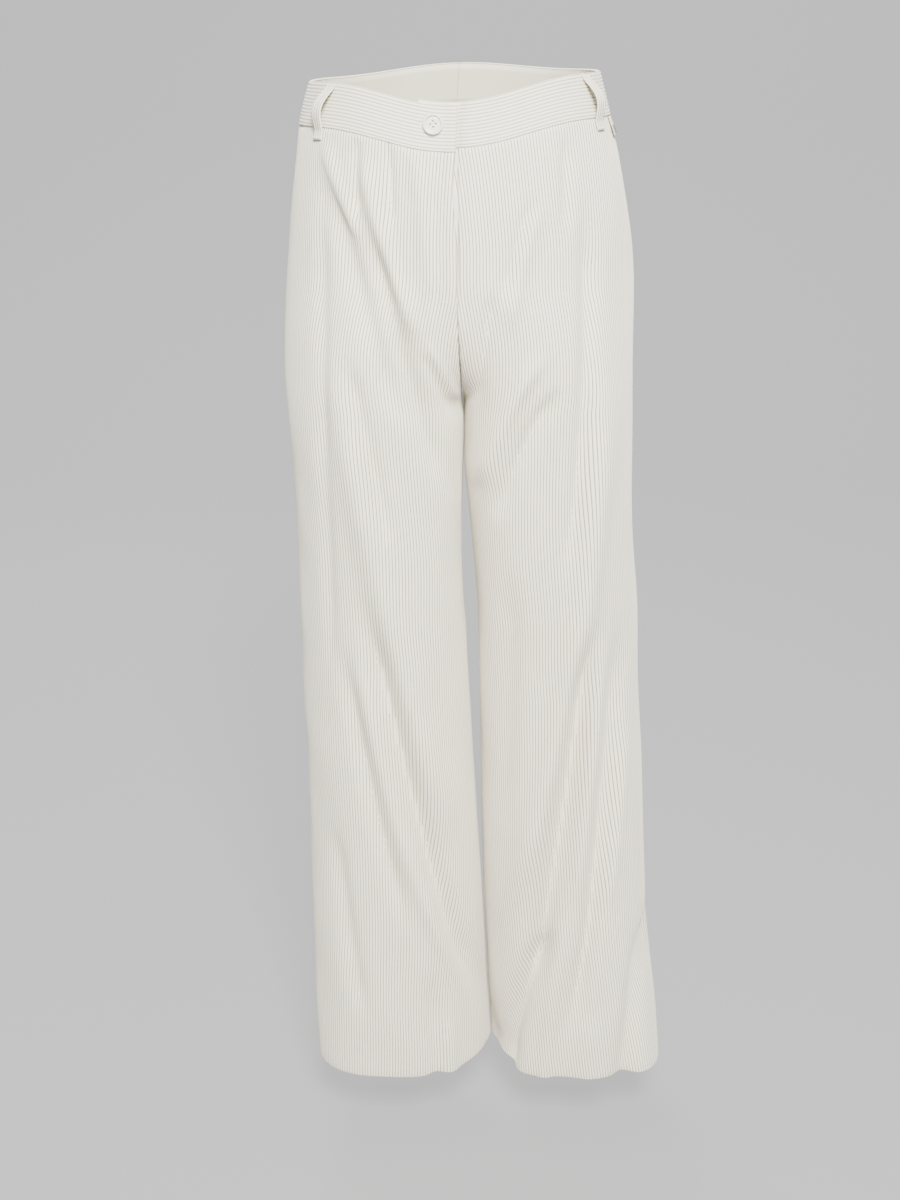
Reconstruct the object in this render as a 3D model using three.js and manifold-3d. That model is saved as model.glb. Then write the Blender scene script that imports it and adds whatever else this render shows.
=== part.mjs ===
// Corduroy trousers: high waist, wide straight legs, a lapped fly and one button at the waistband.
// Units are millimetres. +Z is up, -Y is the front and +X is the wearer's left.
// The origin is the centre of the waist opening, level with the band's top edge at the side seams.
import * as THREE from "three";
import { mergeVertices } from "three/addons/utils/BufferGeometryUtils.js";
import Module from "manifold-3d";

const wasm = await Module();
wasm.setup();

// Driving dimensions of the cloth
const CLOTH = 1.8;
const BAND_CLOTH = 3;
const SEAM_GAP = 0.3;

// Driving dimensions of the waist
const BAND_HEIGHT = 39.2;
const BAND_PROUD = 0.6;
const SIDE_TILT = 4;
const TILT_REACH = 130;
const FRONT_DIP = { right: 22, left: 18.5 };
const BACK_RISE = 8;
const DIP_REACH = 125;

// Driving heights of the leg
const BLEND_BOTTOM = -150;
const FORK_TOP = -165;
const CROTCH = -300;
const INSEAM_TOP = -345;
const HEM = -1043;

// Driving dimensions of the fly
const FLY_TOP = -66;
const FLY_TOP_FADE = -82;
const FLY_TURN = -188;
const FLY_BOTTOM = -194;
const FLY_FADE = -212;
const FLY_UNDERLAP = 11;
const BAND_UNDERLAP = 36;
const LAP_RAMP = 13;
const LAP_CLEARANCE = 0.35;
const BAND_EXTRA = BAND_CLOTH - BAND_PROUD - CLOTH;

// Sections of each half, from the waist down: the outer edge and the inner edge along X (the inner
// edge is the centre seam above the crotch and the inseam below it), the front and back along Y,
// and how square the section is on its outer and inner sides (2 is an ellipse).
const SECTION_COLUMNS = ["z", "outer", "inner", "front", "back", "squareOut", "squareIn"];
const SECTIONS = {
  right: table(SECTION_COLUMNS, [
    [15, -128, 5.6, -103, 99, 2.2, 2.2],
    [-40, -144.4, 2.2, -107, 104, 2.2, 2.2],
    [-75, -150.3, 0.6, -110, 110, 2.2, 2.2],
    [-115, -155.7, 1, -113, 120, 2.2, 2.2],
    [-150, -159.5, 1.6, -114, 129, 2.2, 2.3],
    [-190, -162.9, 2.4, -114, 134, 2.2, 2.6],
    [-230, -165.1, 4, -112, 134, 2.2, 3],
    [-270, -165.5, 6.3, -109, 130, 2.2, 3.5],
    [-300, -165.4, 8.3, -107, 124, 2.2, 3.7],
    [-335, -164.3, 8.9, -105, 119, 2.2, 3.7],
    [-371, -162.3, 9, -103, 115, 2.2, 3.5],
    [-455, -158.7, 7.6, -98, 107, 2.2, 3.1],
    [-521, -158, 9.5, -94, 101, 2.2, 2.9],
    [-565, -157.4, 12.8, -91, 97, 2.2, 2.7],
    [-656, -156.6, 18.4, -88, 92, 2.2, 2.5],
    [-751, -155.6, 24.2, -87, 90, 2.2, 2.4],
    [-874, -154.8, 32.6, -88, 90, 2.4, 2.2],
    [-977, -154.3, 38.8, -89, 91, 2.7, 2],
    [HEM, -153.5, 42, -90, 92, 2.9, 2],
  ]),
  left: table(SECTION_COLUMNS, [
    [15, 132, 5.6, -103, 99, 2.2, 2.2],
    [-40, 146.3, 2.2, -107, 104, 2.2, 2.2],
    [-75, 155.5, 0.6, -110, 110, 2.2, 2.2],
    [-115, 164, 1, -113, 120, 2.2, 2.2],
    [-150, 170.2, 1.6, -114, 129, 2.2, 2.3],
    [-190, 173.8, 2.4, -114, 134, 2.2, 2.6],
    [-230, 175, 4, -112, 134, 2.2, 3],
    [-270, 176, 6.3, -109, 130, 2.2, 3.5],
    [-300, 176.8, 9.3, -107, 124, 2.2, 3.7],
    [-335, 178, 10.4, -105, 119, 2.2, 3.7],
    [-371, 179.5, 11.2, -103, 115, 2.2, 3.6],
    [-455, 183.6, 19.6, -98, 107, 2.2, 3.2],
    [-521, 189.1, 25.1, -94, 101, 2.2, 3],
    [-565, 191.9, 26.4, -91, 97, 2.2, 2.8],
    [-656, 197, 28.5, -88, 92, 2.2, 2.6],
    [-751, 203.7, 30.7, -87, 90, 2.3, 2.5],
    [-874, 211.9, 34.6, -88, 90, 2.7, 2.7],
    [-977, 224.4, 40.4, -89, 91, 3.2, 3],
    [HEM, 231.5, 43.6, -90, 92, 3.6, 3.3],
  ]),
};

// Folds of each half: the height where each starts and ends, how far from the side seam it starts
// and ends, measured round the leg (negative to the front, positive to the back), how far its
// middle bows aside, its half width, and its depth (negative is a valley, positive a ridge).
const FOLD_COLUMNS = ["zTop", "uTop", "zEnd", "uEnd", "bow", "width", "depth"];
const FOLDS = {
  right: table(FOLD_COLUMNS, [
    [-60, -74, -310, -196, -8, 15, -5],
    [-165, -158, -390, -240, -6, 14, -4.5],
    [-90, -140, -235, -205, -4, 13, 3],
    [-48, -112, -130, -130, 0, 8, -2.5],
    [-48, -144, -125, -159, 0, 8, -2],
    [-235, -205, -325, -262, 0, 12, -2.5],
    [-400, -128, -1080, -272, 42, 20, -7],
    [-290, -118, -860, -236, 24, 22, 3.5],
    [-560, -100, -1000, -188, 8, 16, -3.5],
    [-820, -62, -1080, -110, 0, 14, -3],
    [-250, -40, -700, -52, 8, 24, -3],
    [-960, -214, -1085, -220, 0, 11, -4],
    [-48, 104, -165, 116, 0, 8, -2.5],
    [-235, 60, -330, 215, -12, 19, -3.2],
    [-270, 50, -420, 160, -8, 18, -3],
    [-400, 190, -1080, 92, -18, 22, -6],
    [-520, 120, -900, 60, 6, 20, 3.5],
    [-600, 245, -1080, 200, 0, 20, -4.5],
    [-760, 70, -1080, 40, 0, 16, -3.5],
  ]),
  left: table(FOLD_COLUMNS, [
    [-75, -148, -200, -194, 0, 14, -2.5],
    [-195, -214, -300, -262, 0, 10, -3],
    [-290, -160, -400, -222, 0, 14, -3],
    [-60, -84, -560, -122, 8, 17, -4.5],
    [-255, -104, -920, -240, 22, 18, 4.5],
    [-540, -118, -1000, -214, 14, 17, -6],
    [-520, -72, -1000, -152, 8, 15, -4.5],
    [-480, -202, -860, -226, 0, 20, -4],
    [-900, -172, -1060, -232, 0, 22, -9],
    [-930, -30, -1085, -124, 0, 12, -7],
    [-48, -108, -130, -128, 0, 8, -2.5],
    [-48, 104, -165, 116, 0, 8, -2.5],
    [-240, 70, -335, 220, -10, 19, -3],
    [-275, 44, -430, 150, -6, 18, -3],
    [-420, 170, -1080, 120, 14, 22, -6],
    [-500, 110, -880, 66, -6, 20, 3.5],
    [-640, 250, -1080, 214, 0, 20, -4],
    [-800, 60, -1085, 20, 0, 16, -4.5],
  ]),
};
const FOLD_END_SHARE = 0.22;
const SEAM_HOLD = 16;

// Belt loops: the half and the way round from the side seam at the top and at the bottom
const LOOP_COLUMNS = ["name", "half", "uTop", "uBottom"];
const LOOPS = table(LOOP_COLUMNS, [
  ["belt_loop_front_right", "right", -72, -70],
  ["belt_loop_front_left", "left", -63, -57],
  ["belt_loop_back_right", "right", 78, 82],
  ["belt_loop_back_left", "left", 80, 76],
  ["belt_loop_centre_back", "left", 188, 194],
]);
const LOOP = {
  width: 11,
  cloth: 2.4,
  corner: 0.8,
  clearance: 0.35,
  rise: 8.2,
  roundness: 1.2,
  start: 1.5,
  reach: 11,
  footTop: 0.06,
  footBottom: 0.84,
  stepDown: 8,
  steps: 16,
};

const BUTTON = {
  diameter: 18.5,
  height: 3.6,
  rim: 1.6,
  lip: 2.2,
  dish: 1.1,
  hole: 2,
  holeCircle: 5,
  holes: 4,
  sides: 32,
  holeSides: 8,
  rimSteps: 3,
  z: -37.6,
  u: -181,
};

const ZIP = {
  tape: 26,
  thickness: 0.9,
  chain: 5.6,
  chainHeight: 2,
  inset: 15.6,
  top: -67,
  bottom: -187,
  slider: 11,
  sliderWidth: 8,
  steps: 5,
};

const TAB = {
  u: -28,
  width: 9,
  length: 17,
  cloth: 1.4,
  corner: 0.5,
  drop: 0.6,
  rise: 1.5,
  steps: 4,
  plateWidth: 7,
  plateLength: 8,
  plateCorner: 1,
  plateEdge: 1,
  plate: 1,
};

// Mesh density
const PANEL_COLUMNS = 17;
const BAND_COLUMNS = 36;
const BAND_ROWS = 2;
const TOP_ROWS = 4;
const FORK_ROWS = 10;
const THIGH_ROWS = 3;
const LEG_ROWS = 19;
const OUTLINE_STEPS = 180;
const EVEN_SHARE = 0.65;
const EVEN_BOTTOM = -292;
const PROBE = 1.2;

const CREAM = { color: 0xe4dfd3, roughness: 0.95, metalness: 0 };
const BUTTON_CREAM = { color: 0xece7db, roughness: 0.3, metalness: 0 };
const STEEL = { color: 0xb4b2ac, roughness: 0.35, metalness: 1 };

// Turns rows of values into objects with the names of the columns.
function table(columns, rows) {
  return rows.map((row) => Object.fromEntries(columns.map((name, i) => [name, row[i]])));
}

// A smooth step from 0 at `from` to 1 at `to`, in either direction.
function ramp(value, from, to) {
  const t = THREE.MathUtils.clamp((value - from) / (to - from), 0, 1);
  return t * t * (3 - 2 * t);
}

// Whole steps from 0 to 1.
function shares(count) {
  return Array.from({ length: count + 1 }, (_, i) => i / count);
}

// How fast one column of a half's sections changes with height, at row i.
function slopeAt(rows, i, column) {
  const above = rows[Math.max(i - 1, 0)];
  const below = rows[Math.min(i + 1, rows.length - 1)];
  return (below[column] - above[column]) / (below.z - above.z);
}

// The section at height z, on a smooth curve through the rows.
function sectionAt(half, z) {
  const rows = SECTIONS[half];
  const height = THREE.MathUtils.clamp(z, rows[rows.length - 1].z, rows[0].z);
  const i = Math.max(rows.findIndex((row) => row.z <= height) - 1, 0);
  const [a, b] = [rows[i], rows[i + 1]];
  const span = b.z - a.z;
  const t = (height - a.z) / span;
  const section = {};
  for (const column of SECTION_COLUMNS.slice(1)) {
    section[column] =
      (1 + 2 * t) * (1 - t) ** 2 * a[column] +
      t * (1 - t) ** 2 * span * slopeAt(rows, i, column) +
      t * t * (3 - 2 * t) * b[column] +
      t * t * (t - 1) * span * slopeAt(rows, i + 1, column);
  }
  return section;
}

// The lobe that a half's section follows. Above the fork it is centred on the centre seam. Below it
// the centre moves out until, at the crotch, the lobe is the whole section of one leg.
function lobeAt(half, z) {
  const { outer, inner, front, back, squareOut, squareIn } = sectionAt(half, z);
  const side = Math.sign(outer);
  const fork = ramp(z, FORK_TOP, CROTCH);
  const reach = Math.abs(outer - inner) / (1 + fork);
  const centreX = outer - side * reach;
  return { side, reach, centreX, inner, y: (front + back) / 2, depth: (back - front) / 2, squareOut, squareIn };
}

// The half section as points from the side seam round to the inner edge, with the way u walked.
function makeOutline(half, z) {
  const lobe = lobeAt(half, z);
  const points = [];
  let u = 0;
  for (const share of shares(OUTLINE_STEPS)) {
    const c = Math.cos(Math.PI * share);
    const power = 2 / (c > 0 ? lobe.squareOut : lobe.squareIn);
    const x = lobe.centreX + lobe.side * lobe.reach * Math.sign(c) * Math.abs(c) ** power;
    const h = lobe.depth * Math.abs(Math.sin(Math.PI * share)) ** power;
    const before = points[points.length - 1];
    u += before ? Math.hypot(x - before.x, h - before.h) : 0;
    points.push({ x, h, u });
  }
  const centreSeam = (p) => (p.x - lobe.inner) * lobe.side;
  let length = u - SEAM_GAP / 2;
  const end = points.findIndex((p) => centreSeam(p) < SEAM_GAP / 2);
  if (z > CROTCH && end > 0) {
    const [a, b] = [points[end - 1], points[end]];
    const t = (centreSeam(a) - SEAM_GAP / 2) / (centreSeam(a) - centreSeam(b));
    length = a.u + t * (b.u - a.u);
  }
  return { lobe, points, total: u, length };
}

const outlines = new Map();
function outlineAt(half, z) {
  const key = half + z.toFixed(3);
  if (!outlines.has(key)) outlines.set(key, makeOutline(half, z));
  return outlines.get(key);
}

// The point at height z and u round from the side seam (negative to the front), before any fold,
// with its outward direction in the horizontal plane.
function sectionPoint(half, z, u) {
  const { lobe, points, total } = outlineAt(half, z);
  const way = Math.abs(u) > total ? u - Math.sign(u) * 2 * total : u;
  const face = way < 0 ? -1 : 1;
  const walked = Math.min(Math.abs(way), total);
  let low = 0;
  let high = points.length - 1;
  while (high - low > 1) {
    const middle = (low + high) >> 1;
    if (points[middle].u > walked) high = middle;
    else low = middle;
  }
  const [a, b] = [points[low], points[high]];
  const t = (walked - a.u) / (b.u - a.u);
  const run = new THREE.Vector2(b.x - a.x, face * (b.h - a.h)).normalize();
  return {
    x: a.x + t * (b.x - a.x),
    y: lobe.y + face * (a.h + t * (b.h - a.h)),
    outX: lobe.side * face * run.y,
    outY: -lobe.side * face * run.x,
  };
}

// How far the folds push the cloth out (or in) at a place. They fade where a seam holds the cloth.
function foldDepth(half, z, u) {
  let depth = 0;
  for (const fold of FOLDS[half]) {
    const t = (fold.zTop - z) / (fold.zTop - fold.zEnd);
    if (t <= 0 || t >= 1) continue;
    const middle = fold.uTop + t * (fold.uEnd - fold.uTop) + 4 * t * (1 - t) * fold.bow;
    const fade = ramp(t, 0, FOLD_END_SHARE) * ramp(t, 1, 1 - FOLD_END_SHARE);
    depth += fold.depth * fade * Math.exp(-(((u - middle) / fold.width) ** 2));
  }
  const toSeam = Math.max(outlineAt(half, z).length - Math.abs(u), 0);
  return depth * (1 - Math.exp(-((toSeam / SEAM_HOLD) ** 2)));
}

// A point of the cloth's outer face, `proud` out of the plain form.
function clothPoint(half, z, u, proud = 0) {
  const { x, y, outX, outY } = sectionPoint(half, z, u);
  const out = foldDepth(half, z, u) + proud;
  return new THREE.Vector3(x + out * outX, y + out * outY, z);
}

// A point that stands `out` from the cloth's outer face, square to it.
function offCloth(half, z, u, out, proudAt = () => 0) {
  const at = (height, way) => clothPoint(half, height, way, proudAt(height, way));
  const around = at(z, u + PROBE).sub(at(z, u - PROBE));
  const down = at(z - PROBE, u).sub(at(z + PROBE, u));
  const { outX, outY } = sectionPoint(half, z, u);
  const normal = around.cross(down).normalize();
  if (normal.x * outX + normal.y * outY < 0) normal.negate();
  return at(z, u).addScaledVector(normal, out);
}

// The height of the band's top edge above a point at x, on the front (face -1) or the back.
function bandTop(half, face, x) {
  const share = (1 + Math.cos((Math.PI * Math.min(Math.abs(x), DIP_REACH)) / DIP_REACH)) / 2;
  return (SIDE_TILT * x) / TILT_REACH + (face < 0 ? -FRONT_DIP[half] : BACK_RISE) * share;
}

// The heights of the band's top edge and of the waist seam at a place round the waist.
function edgeHeights(half, u) {
  const top = bandTop(half, Math.sign(u), sectionPoint(half, -BAND_HEIGHT, u).x);
  return { band: top, seam: top - BAND_HEIGHT };
}

// A closed wall between an outer and an inner grid of points, both [row][column].
function wall(outer, inner) {
  const rows = outer.length;
  const columns = outer[0].length;
  const points = [...outer.flat(), ...inner.flat()];
  const at = (i, j, layer) => layer * rows * columns + i * columns + j;
  const faces = [];
  const quad = (a, b, c, d) => faces.push(a, b, c, a, c, d);
  for (let i = 0; i + 1 < rows; i++) {
    for (let j = 0; j + 1 < columns; j++) {
      quad(at(i, j, 0), at(i + 1, j, 0), at(i + 1, j + 1, 0), at(i, j + 1, 0));
      quad(at(i, j, 1), at(i, j + 1, 1), at(i + 1, j + 1, 1), at(i + 1, j, 1));
    }
    quad(at(i, 0, 0), at(i, 0, 1), at(i + 1, 0, 1), at(i + 1, 0, 0));
    quad(at(i, columns - 1, 0), at(i + 1, columns - 1, 0), at(i + 1, columns - 1, 1), at(i, columns - 1, 1));
  }
  for (let j = 0; j + 1 < columns; j++) {
    quad(at(0, j, 0), at(0, j + 1, 0), at(0, j + 1, 1), at(0, j, 1));
    quad(at(rows - 1, j, 0), at(rows - 1, j, 1), at(rows - 1, j + 1, 1), at(rows - 1, j + 1, 0));
  }
  const geometry = new THREE.BufferGeometry().setFromPoints(points);
  geometry.setIndex(faces);
  return facingOut(geometry);
}

// Turns the faces of a closed indexed geometry so that they point out.
function facingOut(geometry) {
  const position = geometry.getAttribute("position");
  const index = geometry.getIndex();
  const corner = (k) => new THREE.Vector3().fromBufferAttribute(position, index.getX(k));
  let volume = 0;
  for (let k = 0; k < index.count; k += 3) {
    volume += corner(k).dot(corner(k + 1).cross(corner(k + 2)));
  }
  if (volume < 0) {
    for (let k = 0; k < index.count; k += 3) {
      const second = index.getX(k + 1);
      index.setX(k + 1, index.getX(k + 2));
      index.setX(k + 2, second);
    }
  }
  geometry.computeVertexNormals();
  return geometry;
}

// The heights of a panel's rows in the column that meets the waist seam u round from the side.
function panelHeights(half, u) {
  const seam = edgeHeights(half, u).seam - SEAM_GAP;
  const top = shares(TOP_ROWS).map((t) => seam + t * (BLEND_BOTTOM - seam));
  const hip = [(BLEND_BOTTOM + FLY_TURN) / 2, FLY_TURN];
  const fork = shares(FORK_ROWS).map((t) => FLY_BOTTOM + (CROTCH - FLY_BOTTOM) * (1 - (1 - t) ** 2));
  const thigh = shares(THIGH_ROWS).map((t) => CROTCH + (INSEAM_TOP - CROTCH) * t * t);
  const leg = shares(LEG_ROWS).map((t) => INSEAM_TOP + (HEM - INSEAM_TOP) * t);
  return [...top, ...hip, ...fork, ...thigh.slice(1), ...leg.slice(1)];
}

// How far the left front steps in under the fly's lap, and a little more under the band's.
function flyStep(z, u) {
  const under = Math.abs(u) - outlineAt("left", z).length;
  const depth = CLOTH + LAP_CLEARANCE + BAND_EXTRA * ramp(z, FLY_TOP_FADE, FLY_TOP);
  return -depth * ramp(under, -LAP_RAMP, -1) * ramp(z, FLY_FADE, FLY_BOTTOM);
}

// One panel of a leg: from the waist seam to the hem, and from the side seam to the centre seam
// and the inseam. Its columns keep an even spacing through the fork up to EVEN_SHARE of their way.
function panel(half, face) {
  const laps = half === "left" && face < 0;
  const proudAt = laps ? flyStep : () => 0;
  const way = (z, share) => {
    const edge = outlineAt(half, z).length + (laps && z > FLY_BOTTOM ? FLY_UNDERLAP : 0);
    const even = THREE.MathUtils.lerp(edge, outlineAt(half, z).total, ramp(z, FORK_TOP, EVEN_BOTTOM));
    const inner = Math.max(share - EVEN_SHARE, 0) / (1 - EVEN_SHARE);
    const u = THREE.MathUtils.lerp(Math.min(share, EVEN_SHARE) * even, edge, inner);
    return face * Math.max(u, SEAM_GAP / 2);
  };
  const grid = shares(PANEL_COLUMNS).map((share) =>
    panelHeights(half, way(-BAND_HEIGHT, share)).map((z) => [z, way(z, share)]),
  );
  const layer = (out) => grid.map((column) => column.map(([z, u]) => offCloth(half, z, u, out, proudAt)));
  return wall(layer(0), layer(-CLOTH));
}

// How far the left band steps in under the right band's lap.
function bandStep(z, u) {
  const under = u < 0 ? Math.abs(u) - outlineAt("left", z).length : -Infinity;
  return BAND_PROUD - (BAND_CLOTH + LAP_CLEARANCE) * ramp(under, -LAP_RAMP, -1);
}

// One half of the waistband, from the front lap round to the centre back.
function band(half) {
  const laps = half === "left";
  const proudAt = laps ? bandStep : () => BAND_PROUD;
  const underlap = laps ? BAND_UNDERLAP : 0;
  const grid = shares(BAND_ROWS).map((down) =>
    shares(BAND_COLUMNS).map((share) => {
      const { length } = outlineAt(half, -BAND_HEIGHT);
      const place = THREE.MathUtils.lerp(-length - underlap, length, share);
      const { band: top } = edgeHeights(half, place);
      const z = top - down * BAND_HEIGHT;
      const edge = outlineAt(half, z).length;
      return [z, THREE.MathUtils.lerp(-edge - underlap, edge, share)];
    }),
  );
  const layer = (out) => grid.map((row) => row.map(([z, u]) => offCloth(half, z, u, out, proudAt)));
  return wall(layer(0), layer(-BAND_CLOTH));
}

// A rectangle with rounded corners, centred across and standing on y = 0.
function roundedStrip(width, height, radius) {
  const shape = new THREE.Shape();
  const [w, r] = [width / 2, radius];
  shape.moveTo(-w + r, 0).lineTo(w - r, 0).quadraticCurveTo(w, 0, w, r);
  shape.lineTo(w, height - r).quadraticCurveTo(w, height, w - r, height);
  shape.lineTo(-w + r, height).quadraticCurveTo(-w, height, -w, height - r);
  shape.lineTo(-w, r).quadraticCurveTo(-w, 0, -w + r, 0);
  return shape;
}

// Extrudes a shape and lays it on the cloth: `place` turns x, y, z of the extrusion into the height,
// the way round and the distance off the cloth.
function laidOn(half, shape, options, place) {
  const plain = new THREE.ExtrudeGeometry(shape, { bevelEnabled: false, curveSegments: 2, ...options });
  plain.deleteAttribute("normal");
  plain.deleteAttribute("uv");
  const geometry = mergeVertices(plain);
  const position = geometry.getAttribute("position");
  for (let i = 0; i < position.count; i++) {
    const { z, u, out } = place(position.getX(i), position.getY(i), position.getZ(i));
    position.setXYZ(i, ...offCloth(half, z, u, out));
  }
  return facingOut(geometry);
}

// A belt loop: a strip with its ends on the band's top and just below the waist seam, bowed out
// between them.
function beltLoop({ half, uTop, uBottom }) {
  const { band: top, seam } = edgeHeights(half, uTop);
  const length = top - LOOP.start - (seam - LOOP.reach);
  const section = roundedStrip(LOOP.width, LOOP.cloth, LOOP.corner);
  return laidOn(half, section, { depth: length, steps: LOOP.steps }, (x, y, along) => {
    const t = along / length;
    const z = top - LOOP.start - along;
    const bow = THREE.MathUtils.clamp((t - LOOP.footTop) / (LOOP.footBottom - LOOP.footTop), 0, 1);
    const onBand = BAND_PROUD * ramp(z, seam - LOOP.stepDown, seam - 1);
    const out = LOOP.clearance + onBand + LOOP.rise * Math.sin(Math.PI * bow) ** LOOP.roundness + y;
    return { z, u: THREE.MathUtils.lerp(uTop, uBottom, t) + x, out };
  });
}

// The zip's closed tapes with the chain between them, behind the lap of the fly.
function zipTapes() {
  const shape = new THREE.Shape();
  const [w, c] = [ZIP.tape / 2, ZIP.chain / 2];
  shape.moveTo(-w, -ZIP.thickness).lineTo(w, -ZIP.thickness).lineTo(w, 0).lineTo(c, 0);
  shape.lineTo(c, ZIP.chainHeight).lineTo(-c, ZIP.chainHeight).lineTo(-c, 0).lineTo(-w, 0);
  const options = { depth: ZIP.top - ZIP.slider - ZIP.bottom, steps: ZIP.steps };
  return laidOn("left", shape, options, (x, y, along) => zipPlace(x, y, ZIP.top - ZIP.slider - along));
}

// The slider, at the top of the closed chain.
function zipSlider() {
  const shape = roundedStrip(ZIP.sliderWidth, ZIP.chainHeight - SEAM_GAP, SEAM_GAP);
  const options = { depth: ZIP.slider - SEAM_GAP, steps: 2 };
  return laidOn("left", shape, options, (x, y, along) => zipPlace(x, y, ZIP.top - along));
}

// A place on the zip, which lies behind the left front's folded edge.
function zipPlace(x, y, z) {
  const u = -(outlineAt("left", z).length + ZIP.inset + x);
  return { z, u, out: y - 2 * (CLOTH + LAP_CLEARANCE) - BAND_EXTRA };
}

// The button: a lathe-turned disc with a raised rim, and four holes.
function buttonSolid() {
  const { diameter, height, rim, lip, dish, hole, holeCircle } = BUTTON;
  const r = diameter / 2;
  const outline = new THREE.Path();
  outline.moveTo(0, 0).lineTo(r - rim, 0).quadraticCurveTo(r, 0, r, height / 2);
  outline.quadraticCurveTo(r, height, r - rim / 2, height);
  outline.quadraticCurveTo(r - rim, height, r - lip, height - dish);
  outline.lineTo(0, height - dish);
  const disc = solid(new THREE.LatheGeometry(outline.getPoints(BUTTON.rimSteps), BUTTON.sides));
  const drill = new THREE.CylinderGeometry(hole / 2, hole / 2, 3 * height, BUTTON.holeSides);
  const holes = shares(BUTTON.holes).slice(1).map((turn) => {
    const angle = 2 * Math.PI * turn;
    const [x, z] = [Math.cos(angle), Math.sin(angle)].map((v) => (v * holeCircle) / 2);
    return solid(drill.clone().translate(x, 0, z));
  });
  return fromSolid(holes.reduce((rest, cutter) => rest.subtract(cutter), disc));
}

// A manifold-3d solid of a closed three.js geometry, and a geometry of such a solid.
function solid(geometry) {
  const plain = geometry.clone();
  plain.deleteAttribute("normal");
  plain.deleteAttribute("uv");
  const merged = mergeVertices(plain, 1e-4);
  const vertProperties = merged.getAttribute("position").array;
  const triVerts = new Uint32Array(merged.getIndex().array);
  return new wasm.Manifold(new wasm.Mesh({ numProp: 3, vertProperties, triVerts }));
}
function fromSolid(made) {
  const mesh = made.getMesh();
  const geometry = new THREE.BufferGeometry();
  geometry.setAttribute("position", new THREE.BufferAttribute(mesh.vertProperties, mesh.numProp));
  geometry.setIndex(new THREE.BufferAttribute(mesh.triVerts, 1));
  return facingOut(geometry);
}

// The cloth tab that hangs from the waist seam, and the plain plate on it.
function tabPlace(x, out, down) {
  const { seam } = edgeHeights("left", TAB.u);
  const lift = TAB.rise * ramp(down, 0, TAB.length);
  return { z: seam - TAB.drop - down, u: TAB.u + x, out: LAP_CLEARANCE + lift + out };
}
function sideTab() {
  const section = roundedStrip(TAB.width, TAB.cloth, TAB.corner);
  return laidOn("left", section, { depth: TAB.length, steps: TAB.steps }, (x, y, along) => tabPlace(x, y, along));
}
function tabPlate() {
  const face = roundedStrip(TAB.plateWidth, TAB.plateLength, TAB.plateCorner);
  const top = TAB.length - TAB.plateLength - TAB.plateEdge;
  const lies = TAB.cloth + SEAM_GAP;
  return laidOn("left", face, { depth: TAB.plate, steps: 1 }, (x, y, out) => tabPlace(x, lies + out, top + y));
}

const trousers = new THREE.Group();
function add(name, geometry, look, parent = trousers) {
  const mesh = new THREE.Mesh(geometry, new THREE.MeshStandardMaterial(look));
  mesh.name = name;
  parent.add(mesh);
  return mesh;
}

for (const half of ["right", "left"]) {
  add("front_" + half, panel(half, -1), CREAM);
  add("back_" + half, panel(half, 1), CREAM);
  add("waistband_" + half, band(half), CREAM);
}
for (const loop of LOOPS) {
  add(loop.name, beltLoop(loop), CREAM);
}
add("zip", zipTapes(), CREAM);
add("zip_slider", zipSlider(), STEEL);
add("side_tab", sideTab(), CREAM);
add("side_tab_plate", tabPlate(), STEEL);

// The button stands square on the right band, over its buttonhole.
const seat = offCloth("right", BUTTON.z, BUTTON.u, BAND_PROUD + LAP_CLEARANCE);
const above = offCloth("right", BUTTON.z, BUTTON.u, BAND_PROUD + LAP_CLEARANCE + 1);
const button = add("button", buttonSolid(), BUTTON_CREAM);
button.position.copy(seat);
button.quaternion.setFromUnitVectors(new THREE.Vector3(0, 1, 0), above.sub(seat));

export default trousers;
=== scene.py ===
import math

import bpy
import numpy as np
from mathutils import Matrix, Vector


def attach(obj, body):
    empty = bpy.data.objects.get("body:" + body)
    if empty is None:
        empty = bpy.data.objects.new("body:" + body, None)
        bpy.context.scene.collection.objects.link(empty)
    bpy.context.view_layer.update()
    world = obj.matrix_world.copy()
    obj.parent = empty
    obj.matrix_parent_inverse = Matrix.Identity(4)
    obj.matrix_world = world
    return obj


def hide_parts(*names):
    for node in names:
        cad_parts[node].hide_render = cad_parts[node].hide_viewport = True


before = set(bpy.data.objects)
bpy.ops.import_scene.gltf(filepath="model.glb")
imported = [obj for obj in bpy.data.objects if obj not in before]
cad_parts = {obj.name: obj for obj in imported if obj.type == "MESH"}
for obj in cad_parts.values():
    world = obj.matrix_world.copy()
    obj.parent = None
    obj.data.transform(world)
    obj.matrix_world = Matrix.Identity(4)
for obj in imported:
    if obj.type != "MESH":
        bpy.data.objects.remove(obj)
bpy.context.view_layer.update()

# Sizes are in millimetres, as on a cutting table, and become metres when a mesh is made
MM = 0.001

# The cloth
CLOTH = 1.8
BAND_CLOTH = 3
SEAM_GAP = 0.3
WALE = 3.0
WALE_HEIGHT = 0.62
WALE_ROUNDNESS = 2.6
WALE_COLUMNS = 6
BACKING_COLUMNS = 12

# The waist
BAND_HEIGHT = 39.2
BAND_PROUD = 0.6
SIDE_TILT = 4
TILT_REACH = 130
FRONT_DIP = {"right": 22, "left": 18.5}
BACK_RISE = 8
DIP_REACH = 125

# The heights of the leg
BLEND_BOTTOM = -150
FORK_TOP = -165
CROTCH = -300
INSEAM_TOP = -345
HEM = -1043

# The fly
FLY_TOP = -66
FLY_TOP_FADE = -82
FLY_TURN = -188
FLY_BOTTOM = -194
FLY_FADE = -212
FLY_UNDERLAP = 11
BAND_UNDERLAP = 36
LAP_RAMP = 13
LAP_CLEARANCE = 0.35
BAND_EXTRA = BAND_CLOTH - BAND_PROUD - CLOTH

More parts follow.
